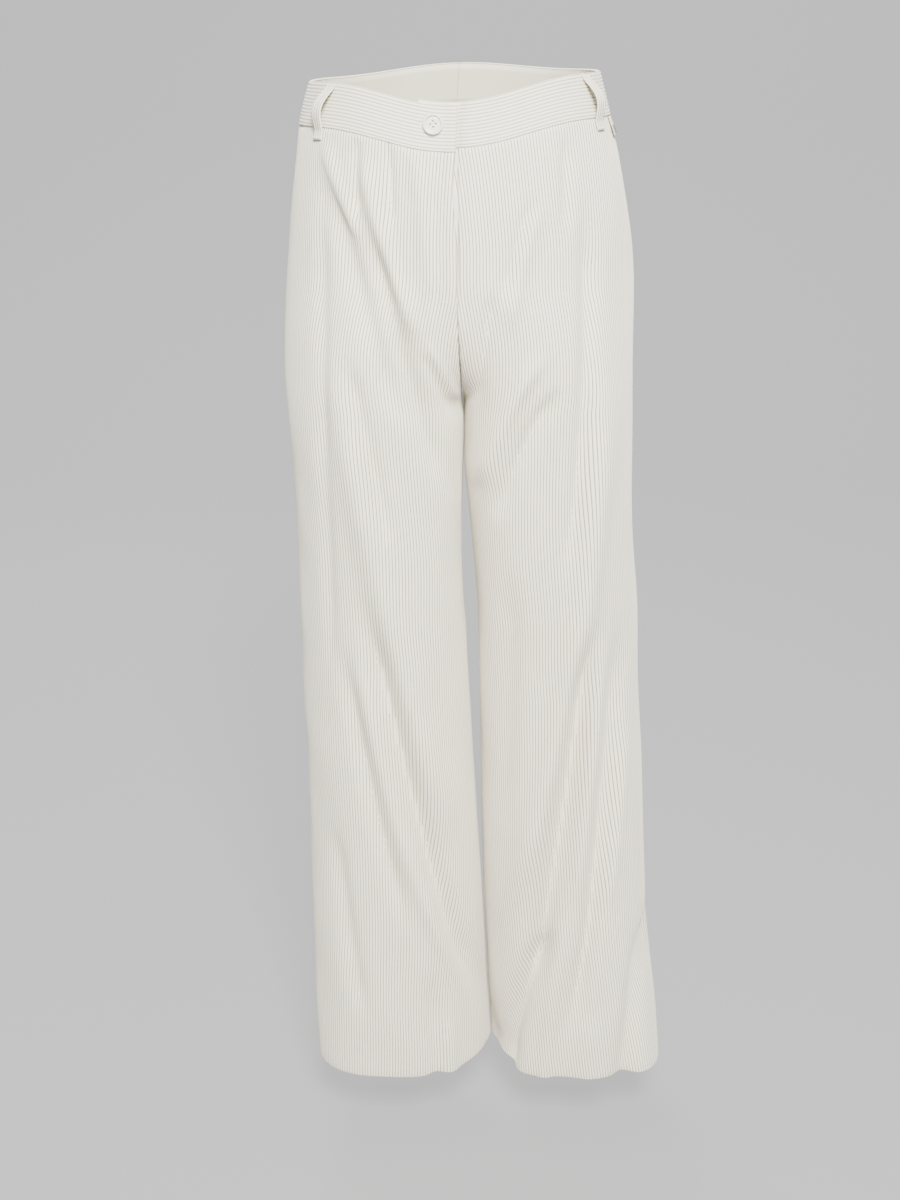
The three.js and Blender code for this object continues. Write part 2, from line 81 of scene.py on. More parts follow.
# Sections of each half, from the waist down: height, outer and inner edge along X, front and back
# along Y, and how square the section is on its outer and its inner side
SECTIONS = {
    "right": [
        (15, -128, 5.6, -103, 99, 2.2, 2.2),
        (-40, -144.4, 2.2, -107, 104, 2.2, 2.2),
        (-75, -150.3, 0.6, -110, 110, 2.2, 2.2),
        (-115, -155.7, 1, -113, 120, 2.2, 2.2),
        (-150, -159.5, 1.6, -114, 129, 2.2, 2.3),
        (-190, -162.9, 2.4, -114, 134, 2.2, 2.6),
        (-230, -165.1, 4, -112, 134, 2.2, 3),
        (-270, -165.5, 6.3, -109, 130, 2.2, 3.5),
        (-300, -165.4, 8.3, -107, 124, 2.2, 3.7),
        (-335, -164.3, 8.9, -105, 119, 2.2, 3.7),
        (-371, -162.3, 9, -103, 115, 2.2, 3.5),
        (-455, -158.7, 7.6, -98, 107, 2.2, 3.1),
        (-521, -158, 9.5, -94, 101, 2.2, 2.9),
        (-565, -157.4, 12.8, -91, 97, 2.2, 2.7),
        (-656, -156.6, 18.4, -88, 92, 2.2, 2.5),
        (-751, -155.6, 24.2, -87, 90, 2.2, 2.4),
        (-874, -154.8, 32.6, -88, 90, 2.4, 2.2),
        (-977, -154.3, 38.8, -89, 91, 2.7, 2),
        (HEM, -153.5, 42, -90, 92, 2.9, 2),
    ],
    "left": [
        (15, 132, 5.6, -103, 99, 2.2, 2.2),
        (-40, 146.3, 2.2, -107, 104, 2.2, 2.2),
        (-75, 155.5, 0.6, -110, 110, 2.2, 2.2),
        (-115, 164, 1, -113, 120, 2.2, 2.2),
        (-150, 170.2, 1.6, -114, 129, 2.2, 2.3),
        (-190, 173.8, 2.4, -114, 134, 2.2, 2.6),
        (-230, 175, 4, -112, 134, 2.2, 3),
        (-270, 176, 6.3, -109, 130, 2.2, 3.5),
        (-300, 176.8, 9.3, -107, 124, 2.2, 3.7),
        (-335, 178, 10.4, -105, 119, 2.2, 3.7),
        (-371, 179.5, 11.2, -103, 115, 2.2, 3.6),
        (-455, 183.6, 19.6, -98, 107, 2.2, 3.2),
        (-521, 189.1, 25.1, -94, 101, 2.2, 3),
        (-565, 191.9, 26.4, -91, 97, 2.2, 2.8),
        (-656, 197, 28.5, -88, 92, 2.2, 2.6),
        (-751, 203.7, 30.7, -87, 90, 2.3, 2.5),
        (-874, 211.9, 34.6, -88, 90, 2.7, 2.7),
        (-977, 224.4, 40.4, -89, 91, 3.2, 3),
        (HEM, 231.5, 43.6, -90, 92, 3.6, 3.3),
    ],
}

# Folds of the fronts, each on a curve through three points: height and sideways place at its top, its
# middle and its end, then half its width and its depth (negative is a valley)
FRONT_FOLDS = {
    "right": [
        (-75, -122, -180, -89, -320, -46, 11, -4.2),
        (-110, -80, -268, -41, -392, -2, 11, -4.8),
        (-48, -87, -80, -88, -125, -89, 5, -2.2),
        (-48, -60, -85, -58, -130, -57, 5, -2.4),
        (-82, -21, -130, -18, -215, -16, 6, -2.2),
        (-235, -31, -272, -13, -315, 6, 7, -1.8),
        (-50, -119, -99, -103, -145, -84, 6, 2.4),
        (-55, -82, -140, -65, -235, -30, 8, 4.2),
        (-50, -38, -130, -26, -200, -19, 8, 2.2),
        (-230, -25, -262, -11, -295, 3, 6, 2.2),
        (-230, -117, -518, -63, -800, 8, 15, 5.5),
        (-240, -102, -345, -79, -440, -60, 8, -3.2),
        (-470, -91, -737, -34, -1000, 40, 10, -7.5),
        (-530, -115, -690, -87, -870, -46, 9, -4.5),
        (-520, -98, -740, -58, -960, 18, 9, 3),
        (-740, -126, -855, -114, -980, -94, 9, -3.2),
        (-50, -121, -287, -124, -600, -123, 7, -2.6),
        (-900, -24, -1000, -20, -1180, -12, 9, -3),
        (-960, -4, -1020, -4, -1200, -2, 9, 2.6),
    ],
    "left": [
        (-100, 72, -144, 59, -195, 46, 7, -2.8),
        (-180, 36, -235, 27, -300, 16, 7, -3.2),
        (-100, 80, -157, 60, -225, 50, 8, 2.6),
        (-235, 84, -290, 55, -382, 25, 9, 4.2),
        (-270, 98, -340, 62, -410, 38, 9, -4),
        (-90, 119, -249, 125, -480, 106, 9, -5),
        (-235, 141, -640, 106, -890, 43, 14, 5.5),
        (-500, 138, -760, 109, -950, 80, 13, -10.5),
        (-500, 166, -772, 153, -1020, 120, 10, -7),
        (-510, 147, -640, 142, -850, 126, 8, 2.6),
        (-620, 180, -737, 172, -850, 162, 7, 2.2),
        (-850, 218, -941, 200, -1110, 182, 13, -7),
        (-860, 106, -945, 72, -1072, 52, 13, -12),
        (-840, 118, -929, 107, -1100, 98, 8, 2.2),
        (-450, 52, -614, 53, -760, 46, 12, -3.2),
        (-48, 100, -85, 101, -135, 102, 6, -2.2),
        (-960, 150, -1010, 148, -1110, 144, 16, 2.5),
    ],
}

# Folds of the backs: height and way round from the side seam where each starts and where it ends, how
# far its middle bows aside, then half its width and its depth
BACK_FOLDS = {
    "right": [
        (-48, 104, -165, 116, 0, 8, -2.5),
        (-235, 60, -330, 215, -12, 19, -3.6),
        (-270, 50, -420, 160, -8, 18, -3.6),
        (-400, 190, -1080, 92, -18, 20, -8),
        (-520, 120, -900, 60, 6, 18, 5),
        (-600, 245, -1080, 200, 0, 18, -6.5),
        (-760, 70, -1080, 40, 0, 14, -5),
        (-120, 60, -300, 90, 4, 12, -2),
        (-330, 230, -640, 200, 6, 13, -3.4),
        (-620, 60, -960, 80, -6, 13, 2.6),
        (-700, 160, -1010, 150, 5, 12, 3),
    ],
    "left": [
        (-48, 104, -165, 116, 0, 8, -2.5),
        (-240, 70, -335, 220, -10, 19, -3.6),
        (-275, 44, -430, 150, -6, 18, -3.6),
        (-420, 170, -1080, 120, 14, 20, -8),
        (-500, 110, -880, 66, -6, 18, 5),
        (-640, 250, -1080, 214, 0, 18, -6.5),
        (-800, 60, -1085, 20, 0, 14, -6),
        (-130, 70, -320, 96, 4, 12, -2),
        (-350, 226, -660, 210, -6, 13, -3.4),
        (-600, 70, -960, 50, 6, 13, 2.6),
        (-720, 170, -1010, 176, -5, 12, 3),
    ],
}
FOLD_END_SHARE = 0.22
FOLD_SCALE = 1.75
SIDE_HOLD = 14
SEAM_HOLD = 16

# The way round where the cloth's grain runs, at each height
GRAIN_HEIGHTS = (HEM, -820, -600, -371, -300, -190, -40)
GRAIN_WAYS = {
    "right": (153, 149, 148, 160, 163, 158, 134),
    "left": (158, 151, 148, 160, 163, 158, 134),
}

# Belt loops: the half and the way round at the top and the bottom
LOOPS = {
    "belt_loop_front_right": ("right", -72, -70),
    "belt_loop_front_left": ("left", -63, -57),
    "belt_loop_back_right": ("right", 78, 82),
    "belt_loop_back_left": ("left", 80, 76),
    "belt_loop_centre_back": ("left", 188, 194),
}
LOOP_WIDTH = 11
LOOP_CLOTH = 2.4
LOOP_CLEARANCE = 0.35
LOOP_RISE = 8.2
LOOP_ROUNDNESS = 1.2
LOOP_START = 1.5
LOOP_REACH = 11
LOOP_FOOT_TOP = 0.06
LOOP_FOOT_BOTTOM = 0.84
LOOP_STEP_DOWN = 8

# The surface tables: one row a millimetre of height
SURFACE_TOP = 16
OUTLINE_STEPS = 360
TABLE_STEPS = 720
PROBE = 1.2


def ramp(value, start, end):
    """A smooth step from 0 at start to 1 at end, in either direction."""
    t = np.clip((np.asarray(value, float) - start) / (end - start), 0, 1)
    return t * t * (3 - 2 * t)


def bump(value, middle, width):
    """A soft hump of height 1 round the middle."""
    return np.exp(-(((np.asarray(value, float) - middle) / width) ** 2))


def curve_through(heights, places, z):
    """The place at each height on the curve through three points."""
    (a, b, c), (p, q, r) = heights, places
    first = p * (z - b) * (z - c) / ((a - b) * (a - c))
    second = q * (z - a) * (z - c) / ((b - a) * (b - c))
    return first + second + r * (z - a) * (z - b) / ((c - a) * (c - b))


def end_fade(z, top, end):
    """A fold's share of its full depth: it rises from nothing at the top and sinks to nothing at its end."""
    t = (top - z) / (top - end)
    return ramp(t, 0, FOLD_END_SHARE) * ramp(t, 1, 1 - FOLD_END_SHARE)


def sections_at(rows, heights):
    """The section's values at each height, on a smooth curve through the rows."""
    rows = np.array(rows, float)
    z = rows[:, 0]
    last = len(z) - 1
    above = np.maximum(np.arange(last + 1) - 1, 0)
    below = np.minimum(np.arange(last + 1) + 1, last)
    slopes = (rows[below] - rows[above]) / (z[below] - z[above])[:, None]
    height = np.clip(heights, z[-1], z[0])
    i = np.clip(np.searchsorted(-z, -height, side="right") - 1, 0, last - 1)
    span = (z[i + 1] - z[i])[:, None]
    t = (height - z[i])[:, None] / span
    curve = (
        (1 + 2 * t) * (1 - t) ** 2 * rows[i]
        + t * (1 - t) ** 2 * span * slopes[i]
        + t * t * (3 - 2 * t) * rows[i + 1]
        + t * t * (t - 1) * span * slopes[i + 1]
    )
    return curve[:, 1:]


class Half:
    """The outer face of one half of the garment, read at a height and a way round from the side seam."""

    def __init__(self, name):
        self.name = name
        self.side = 1 if name == "left" else -1
        heights = np.arange(SURFACE_TOP, HEM - 2, -1.0)
        outer, inner, front, back, square_out, square_in = sections_at(SECTIONS[name], heights).T[..., None]
        fork = ramp(heights, FORK_TOP, CROTCH)[:, None]
        reach = abs(outer - inner) / (1 + fork)
        angle = np.linspace(0, np.pi, OUTLINE_STEPS + 1)[None]
        c = np.cos(angle)
        power = 2 / np.where(c > 0, square_out, square_in)
        x = outer - self.side * reach * (1 - np.sign(c) * abs(c) ** power)
        h = (back - front) / 2 * abs(np.sin(angle)) ** power
        steps = np.hypot(np.diff(x), np.diff(h))
        u = np.hstack([np.zeros((len(heights), 1)), np.cumsum(steps, 1)])
        self.total = u[:, -1]
        self.middle = ((front + back) / 2)[:, 0]
        self.length = np.where(heights > CROTCH, self.seam_way(x, u, inner), self.total - SEAM_GAP / 2)
        share = np.linspace(0, 1, TABLE_STEPS + 1)
        self.x = np.array([np.interp(share * a[-1], a, b) for a, b in zip(u, x)])
        self.h = np.array([np.interp(share * a[-1], a, b) for a, b in zip(u, h)])
        self.dx = np.gradient(self.x, axis=1)
        self.dx[:, [0, -1]] = 0
        self.dh = np.gradient(self.h, axis=1)

    def seam_way(self, x, u, inner):
        """The way round where each outline meets the centre seam."""
        past = (x - inner) * self.side - SEAM_GAP / 2
        end = np.maximum(np.argmax(past < 0, axis=1), 1)
        row = np.arange(len(u))
        a, b = past[row, end - 1], past[row, end]
        return u[row, end - 1] + a / (a - b) * (u[row, end] - u[row, end - 1])

    def rows(self, z):
        """The table row above each height, and how far below it the height is."""
        depth = np.clip(SURFACE_TOP - np.asarray(z, float), 0, len(self.total) - 1.001)
        row = depth.astype(int)
        return row, depth - row

    def along(self, values, z):
        """A value that changes with height alone."""
        row, down = self.rows(z)
        return values[row] * (1 - down) + values[row + 1] * down

    def ground(self, z, u):
        """The point before any fold, as x, y and its outward direction in the horizontal plane."""
        row, down = self.rows(z)
        total = self.along(self.total, z)
        way = np.where(abs(u) > total, u - np.sign(u) * 2 * total, u)
        face = np.where(way < 0, -1.0, 1.0)
        place = np.clip(abs(way) / total, 0, 1) * TABLE_STEPS
        column = np.minimum(place.astype(int), TABLE_STEPS - 1)
        across = place - column

        def read(values):
            upper = values[row, column] * (1 - across) + values[row, column + 1] * across
            lower = values[row + 1, column] * (1 - across) + values[row + 1, column + 1] * across
            return upper * (1 - down) + lower * down

        dx, dh = read(self.dx), read(self.dh)
        size = np.maximum(np.hypot(dx, dh), 1e-9)
        x = read(self.x)
        y = self.along(self.middle, z) + face * read(self.h)
        return x, y, self.side * dh / size, -self.side * face * dx / size

    def fold(self, z, u, x):
        """How far the folds push the cloth out, or in. They fade where a seam holds the cloth."""
        front, back = np.zeros(z.shape), np.zeros(z.shape)
        for top, x_top, middle, x_middle, end, x_end, width, size in FRONT_FOLDS[self.name]:
            here = (z < top) & (z > end) & (u < 0)
            at = z[here]
            line = curve_through((top, middle, end), (x_top, x_middle, x_end), at)
            front[here] += FOLD_SCALE * size * end_fade(at, top, end) * bump(x[here], line, width)
        for top, u_top, end, u_end, bow, width, size in BACK_FOLDS[self.name]:
            here = (z < top) & (z > end) & (u > 0)
            at = z[here]
            t = (top - at) / (top - end)
            line = u_top + t * (u_end - u_top) + 4 * t * (1 - t) * bow
            back[here] += FOLD_SCALE * size * end_fade(at, top, end) * bump(u[here], line, width)
        to_seam = np.maximum(self.along(self.length, z) - abs(u), 0)
        folds = (front + back) * ramp(abs(u), 0, SIDE_HOLD) + swell(self.name, z, u)
        return folds * (1 - bump(to_seam, 0, SEAM_HOLD))

    def cloth(self, z, u, proud=0.0):
        """Points of the outer face, in millimetres, moved `proud` along the level outward direction."""
        z, u = np.broadcast_arrays(np.asarray(z, float), np.asarray(u, float))
        x, y, out_x, out_y = self.ground(z, u)
        out = self.fold(z, u, x) + proud
        return np.stack([x + out * out_x, y + out * out_y, z], -1)

    def face(self, z, u, proud_at=None):
        """Points of the outer face with their true normals."""
        proud = proud_at or (lambda height, way: 0.0)

        def at(height, way):
            return self.cloth(height, way, proud(height, way))

        around = at(z, u + PROBE) - at(z, u - PROBE)
        down = at(z - PROBE, u) - at(z + PROBE, u)
        normal = np.cross(around, down)
        _, _, out_x, out_y = self.ground(z, u)
        facing = np.sign(normal[..., 0] * out_x + normal[..., 1] * out_y)
        normal *= (facing / np.maximum(np.linalg.norm(normal, axis=-1), 1e-9))[..., None]
        return at(z, u), normal

    def off(self, z, u, out, proud_at=None):
        """Points that stand `out` from the outer face."""
        points, normal = self.face(z, u, proud_at)
        return points + normal * np.asarray(out, float)[..., None]


# Slow swells of the cloth that no fold explains: wave lengths in millimetres and seeded directions
SWELL_LENGTHS = (190, 140, 105, 82, 64, 50)
SWELL_SIZE = 0.003
SWELL_SEEDS = {"right": 11, "left": 23}


def swells(seed):
    """The direction and start of each swell."""
    random = np.random.default_rng(seed)
    return [(random.uniform(-0.9, 0.9), random.uniform(0, 2 * math.pi), length) for length in SWELL_LENGTHS]


SWELLS = {name: swells(seed) for name, seed in SWELL_SEEDS.items()}


def swell(name, z, u):
    """The cloth's slow swells at a place."""
    total = 0.0
    for tilt, start, length in SWELLS[name]:
        along = np.asarray(u, float) * math.cos(tilt) + np.asarray(z, float) * math.sin(tilt)
        total = total + SWELL_SIZE * length * np.sin(2 * math.pi * along / length + start)
    return total


HALVES = {name: Half(name) for name in ("right", "left")}


def band_top(name, face, x):
    """The height of the band's top edge above a point at x, on the front or the back."""
    share = (1 + np.cos(np.pi * np.minimum(abs(x), DIP_REACH) / DIP_REACH)) / 2
    return SIDE_TILT * x / TILT_REACH + np.where(np.asarray(face) < 0, -FRONT_DIP[name], BACK_RISE) * share


def top_height(name, u):
    """The height of the band's top edge at a place round the waist."""
    u = np.asarray(u, float)
    x = HALVES[name].ground(np.full(u.shape, -BAND_HEIGHT), u)[0]
    return band_top(name, np.sign(u), x)


def seam_height(name, u):
    """The height of the waist seam at a place round the waist."""
    return top_height(name, u) - BAND_HEIGHT


def fly_step(z, u):
    """How far the left front steps in under the fly's lap, and a little more under the band's."""
    left = HALVES["left"]
    under = abs(u) - left.along(left.length, z)
    depth = CLOTH + LAP_CLEARANCE + BAND_EXTRA * ramp(z, FLY_TOP_FADE, FLY_TOP)
    return -depth * ramp(under, -LAP_RAMP, -1) * ramp(z, FLY_FADE, FLY_BOTTOM)


def band_step(z, u):
    """How far the left band steps in under the right band's lap."""
    left = HALVES["left"]
    under = np.where(u < 0, abs(u) - left.along(left.length, z), -LAP_RAMP)
    return BAND_PROUD - (BAND_CLOTH + LAP_CLEARANCE) * ramp(under, -LAP_RAMP, -1)


def wale_profile(way):
    """A wale's height from 0 in the valley to 1 on the ridge, at a distance across the wales."""
    across = np.mod(np.asarray(way, float) / WALE, 1)
    return 1 - abs(2 * across - 1) ** WALE_ROUNDNESS


def relief(way):
    """How far the wales stand out of the cloth's mean face, in millimetres."""
    return WALE_HEIGHT * (wale_profile(way) - 0.6)


def make_mesh(name, points, faces, material, across=None, along=None, wale=None, backing=None):
    """A smooth mesh object from points in millimetres, with its cloth coordinates and masks."""
    used, index = np.unique(np.concatenate([np.asarray(f).ravel() for f in faces]), return_inverse=True)
    loops, start = [], 0
    for group in faces:
        group = np.asarray(group)
        loops.append(index[start:start + group.size].reshape(group.shape))
        start += group.size
    mesh = bpy.data.meshes.new(name)
    sizes = np.concatenate([np.full(len(g), g.shape[1]) for g in loops])
    corners = np.concatenate([g.ravel() for g in loops]).astype(np.int32)
    mesh.vertices.add(len(used))
    mesh.vertices.foreach_set("co", (points[used] * MM).astype(np.float32).ravel())
    mesh.loops.add(len(corners))
    mesh.loops.foreach_set("vertex_index", corners)
    mesh.polygons.add(len(sizes))
    starts = np.concatenate([[0], np.cumsum(sizes)[:-1]]).astype(np.int32)
    mesh.polygons.foreach_set("loop_start", starts)
    mesh.update(calc_edges=True)
    mesh.polygons.foreach_set("use_smooth", np.ones(len(sizes), bool))
    if across is not None:
        cloth = mesh.uv_layers.new(name="cloth")
        flat = np.stack([across[used][corners], along[used][corners]], -1) / 100
        cloth.data.foreach_set("uv", flat.astype(np.float32).ravel())
    for label, values in (("wale", wale), ("backing", backing)):
        if values is not None:
            layer = mesh.attributes.new(label, "FLOAT", "POINT")
            layer.data.foreach_set("value", values[used].astype(np.float32))
    mesh.materials.append(material)
    mesh.validate()
    piece = bpy.data.objects.new(name, mesh)
    bpy.context.scene.collection.objects.link(piece)
    face_out(mesh)
    return piece


def face_out(mesh):
    """Turns a closed mesh inside out if its faces point in."""
    mesh.calc_loop_triangles()
    count = len(mesh.loop_triangles)
    corners = np.zeros(count * 3, np.int32)
    mesh.loop_triangles.foreach_get("vertices", corners)
    co = np.zeros(len(mesh.vertices) * 3, np.float32)
    mesh.vertices.foreach_get("co", co)
    a, b, c = co.reshape(-1, 3)[corners.reshape(-1, 3)].astype(float).transpose(1, 0, 2)
    if np.einsum("ij,ij->", a, np.cross(b, c)) < 0:
        mesh.flip_normals()


def grid_faces(ids):
    """Four-cornered faces of a grid of point numbers; a side that has shrunk to a point is left out."""
    a, b = ids[:-1, :-1].ravel(), ids[1:, :-1].ravel()
    c, d = ids[1:, 1:].ravel(), ids[:-1, 1:].ravel()
    whole = (a != d) & (b != c)
    top_gone = (a == d) & (b != c)
    foot_gone = (a != d) & (b == c)
    return [
        np.stack([a, b, c, d], -1)[whole],
        np.stack([a, b, c], -1)[top_gone],
        np.stack([a, b, d], -1)[foot_gone],
    ]


def panel_rows(seam):
    """The heights of a panel's rows under each place of the waist seam, as rows by columns."""
    near = np.array([0, 0.7, 1.5, 2.6, 4.2, 6.5])[:, None]
    rest = np.linspace(0, 1, 15)[1:, None]
    top = np.vstack([seam - near, seam - near[-1] + rest * (BLEND_BOTTOM - seam + near[-1])])
    hip = np.linspace(BLEND_BOTTOM, FLY_BOTTOM, 9)[1:]
    fork = FLY_BOTTOM + (CROTCH - FLY_BOTTOM) * (1 - (1 - np.linspace(0, 1, 25)[1:]) ** 2)
    thigh = CROTCH + (INSEAM_TOP - CROTCH) * np.linspace(0, 1, 9)[1:] ** 1.6
    leg = np.linspace(INSEAM_TOP, HEM + HEM_ROLL, 78)[1:]
    hem = HEM + HEM_ROLL * (1 - np.sin(np.linspace(0, np.pi / 2, 4)[1:]))
    lower = np.concatenate([hip, fork, thigh, leg, hem])
    return np.vstack([top, np.repeat(lower[:, None], len(seam), 1)])


HEM_ROLL = 1.4
SEAM_DIP = 1.1
SEAM_DIP_WIDTH = 1.5
WAIST_DIP = 0.9
LAP_ROLL = 2.2
LAP_PUFF = 1.8
LAP_PUFF_PLACE = 4.5
LAP_PUFF_WIDTH = 4
UNDER_DIP = 4.4
BAND_UNDER = 0.8
UNDER_WALL = (0.9, 3.2)
UNDER_REACH = 3
FLY_TAPER = -150
LAP_WAVE = (-98, 22, -1.5)
WANDER = 0.7
WANDER_LENGTH = 150


def panel_edge(name, face, z):
    """The way round to a panel's inner edge, with the left front's strip under the fly."""
    half = HALVES[name]
    edge = half.along(half.length, z)
    if face < 0 and name == "left":
        edge = edge + FLY_UNDERLAP * np.clip((z - FLY_BOTTOM) / (FLY_TURN - FLY_BOTTOM), 0, 1)
    if face < 0 and name == "right":
        middle, width, size = LAP_WAVE
        edge = edge + size * bump(z, middle, width)
    return edge


def under_dip(beside):
    """How far the cloth dips beside a lap's edge: a step up beyond it and a slow rise under it."""
    seen = 1 - ramp(beside, *UNDER_WALL)
    return UNDER_DIP * np.where(beside > 0, seen, bump(beside, 0, UNDER_REACH))


def leg_panel(name, face, material):
    """A leg panel cut along the grain, its wales running down it and cut off by its seams."""
    half = HALVES[name]
    laps = name == "left" and face < 0
    lapped = name == "right" and face < 0
    offsets = np.arange(-171, 192, WALE / WALE_COLUMNS)
    grain_at = lambda z: np.interp(z, GRAIN_HEIGHTS, GRAIN_WAYS[name])
    seam_ways = np.clip(grain_at(-BAND_HEIGHT) + offsets, 0, panel_edge(name, face, np.array(-BAND_HEIGHT)))
    z = panel_rows(seam_height(name, face * np.maximum(seam_ways, 0.01)) - SEAM_GAP)
    wander = WANDER * np.sin(2 * np.pi * z / WANDER_LENGTH + offsets / 31) * np.sin(offsets / 47 + 1)
    free = grain_at(z) + offsets + wander
    edge = panel_edge(name, face, z)
    inside = (free > SEAM_GAP) & (free < edge - SEAM_GAP)
    first = np.argmax(inside, axis=1) - 1
    last = inside.shape[1] - np.argmax(inside[:, ::-1], axis=1)
    number = np.arange(len(offsets))[None]
    way = np.clip(free, SEAM_GAP / 2, edge)
    way = np.where(number <= first[:, None], SEAM_GAP / 2, np.where(number >= last[:, None], edge, way))
    u = face * way

    rise = np.broadcast_to(relief(offsets), z.shape).copy()
    to_side, to_edge = way, np.maximum(edge - way, 0)
    dip = SEAM_DIP * bump(to_side, 0, SEAM_DIP_WIDTH)
    if lapped:
        fly = ramp(z, FLY_FADE, FLY_BOTTOM)
        roll = LAP_ROLL - np.sqrt(np.maximum(LAP_ROLL**2 - np.maximum(LAP_ROLL - to_edge, 0) ** 2, 0))
        dip = dip + (1 - fly) * SEAM_DIP * bump(to_edge, 0, SEAM_DIP_WIDTH)
        dip = dip + fly * (roll - LAP_PUFF * bump(to_edge, LAP_PUFF_PLACE, LAP_PUFF_WIDTH))
    else:
        dip = dip + SEAM_DIP * bump(to_edge, 0, SEAM_DIP_WIDTH)
    sunk = 0.0
    if laps:
        beside = half.along(half.length, z) - way
        sunk = under_dip(beside) * ramp(z, FLY_FADE, FLY_TAPER)
    dip = dip + WAIST_DIP * bump(z[0] - z, 0, 2)
    to_hem = np.maximum(HEM + HEM_ROLL - z, 0) / HEM_ROLL
    dip = dip + HEM_ROLL * (1 - np.sqrt(np.maximum(1 - to_hem**2, 0)))
    points, normal = half.face(z, u, fly_step if laps else None)
    points = points - normal * np.broadcast_to(sunk, z.shape)[..., None]
    outer = points + normal * (rise - dip)[..., None]
    doubled = CLOTH * (1 + 0.7 * ramp(z, HEM + 32, HEM + 30))
    inner = points - normal * (doubled - 0.2)[..., None]

    rows, columns = z.shape
    row = np.arange(rows)[:, None]
    column = np.clip(np.arange(columns)[None], first[:, None], last[:, None])
    outer_ids = row * columns + column
    sparse = np.unique(np.append(np.arange(0, columns, BACKING_COLUMNS), columns - 1))
    inner_ids = rows * columns + row * columns + column[:, sparse]
    faces = grid_faces(outer_ids) + [f[:, ::-1] for f in grid_faces(inner_ids)]
    faces += rim_faces(outer_ids, inner_ids, sparse)
    total = 2 * rows * columns
    # The wale height also sets the painted shade in the valleys between the wales
    wale = np.concatenate([np.broadcast_to(wale_profile(offsets), z.shape).ravel(), np.full(total // 2, 0.5)])
    return make_mesh(
        f"{'front' if face < 0 else 'back'}_{name}_panel",
        np.concatenate([outer.reshape(-1, 3), inner.reshape(-1, 3)]),
        faces,
        material,
        across=np.tile(np.broadcast_to(offsets, z.shape).ravel(), 2),
        along=np.tile(z.ravel(), 2),
        wale=wale,
        backing=np.repeat([0.0, 1.0], total // 2),
    )


def rim_faces(outer_ids, inner_ids, sparse):
    """Faces that close a shell along its two sides, its top and its foot."""
    faces = []
    for side, turn in ((0, -1), (-1, 1)):
        a, b = outer_ids[:-1, side], outer_ids[1:, side]
        c, d = inner_ids[1:, side], inner_ids[:-1, side]
        faces.append(np.stack([a, b, c, d], -1)[:, ::turn])
    for end, turn in ((0, 1), (-1, -1)):
        for k, (i, j) in enumerate(zip(sparse[:-1], sparse[1:])):
            ring = np.concatenate([outer_ids[end, i:j + 1], [inner_ids[end, k + 1], inner_ids[end, k]]])
            kept = ring[np.append(True, ring[1:] != ring[:-1])]
            if len(kept) > 3:
                faces.append(kept[None, ::turn])
    return faces


# The waistband's rows across its profile: the foot, the outer face, the fold over the top, the inside
BAND_ROUND = BAND_CLOTH / 2
BAND_STEP = 3.0
BAND_END_STEPS = (0.0, 0.12, 0.4, 0.8, 1.2, 1.6)


def band_profile():
    """Points round the band's section: depth below the top, distance out, and distance across wales."""
    foot = [
        (BAND_HEIGHT, -BAND_CLOTH),
        (BAND_HEIGHT, -1.6),
        (BAND_HEIGHT - 0.05, -0.9),
        (BAND_HEIGHT - 0.35, -0.35),
    ]
    start = BAND_HEIGHT - 0.9
    count = round((start - BAND_ROUND) / (WALE / WALE_COLUMNS))
    outer = [(start + (BAND_ROUND - start) * k / count, 0) for k in range(count + 1)]
    fold = [
        (BAND_ROUND * (1 - math.sin(a)), -BAND_ROUND * (1 - math.cos(a)))
        for a in np.linspace(0, math.pi, 13)[1:]
    ]
    inside = [(d, -BAND_CLOTH) for d in np.linspace(BAND_ROUND, BAND_HEIGHT, 8)[1:-1]]
    return np.array(foot + outer + fold + inside)


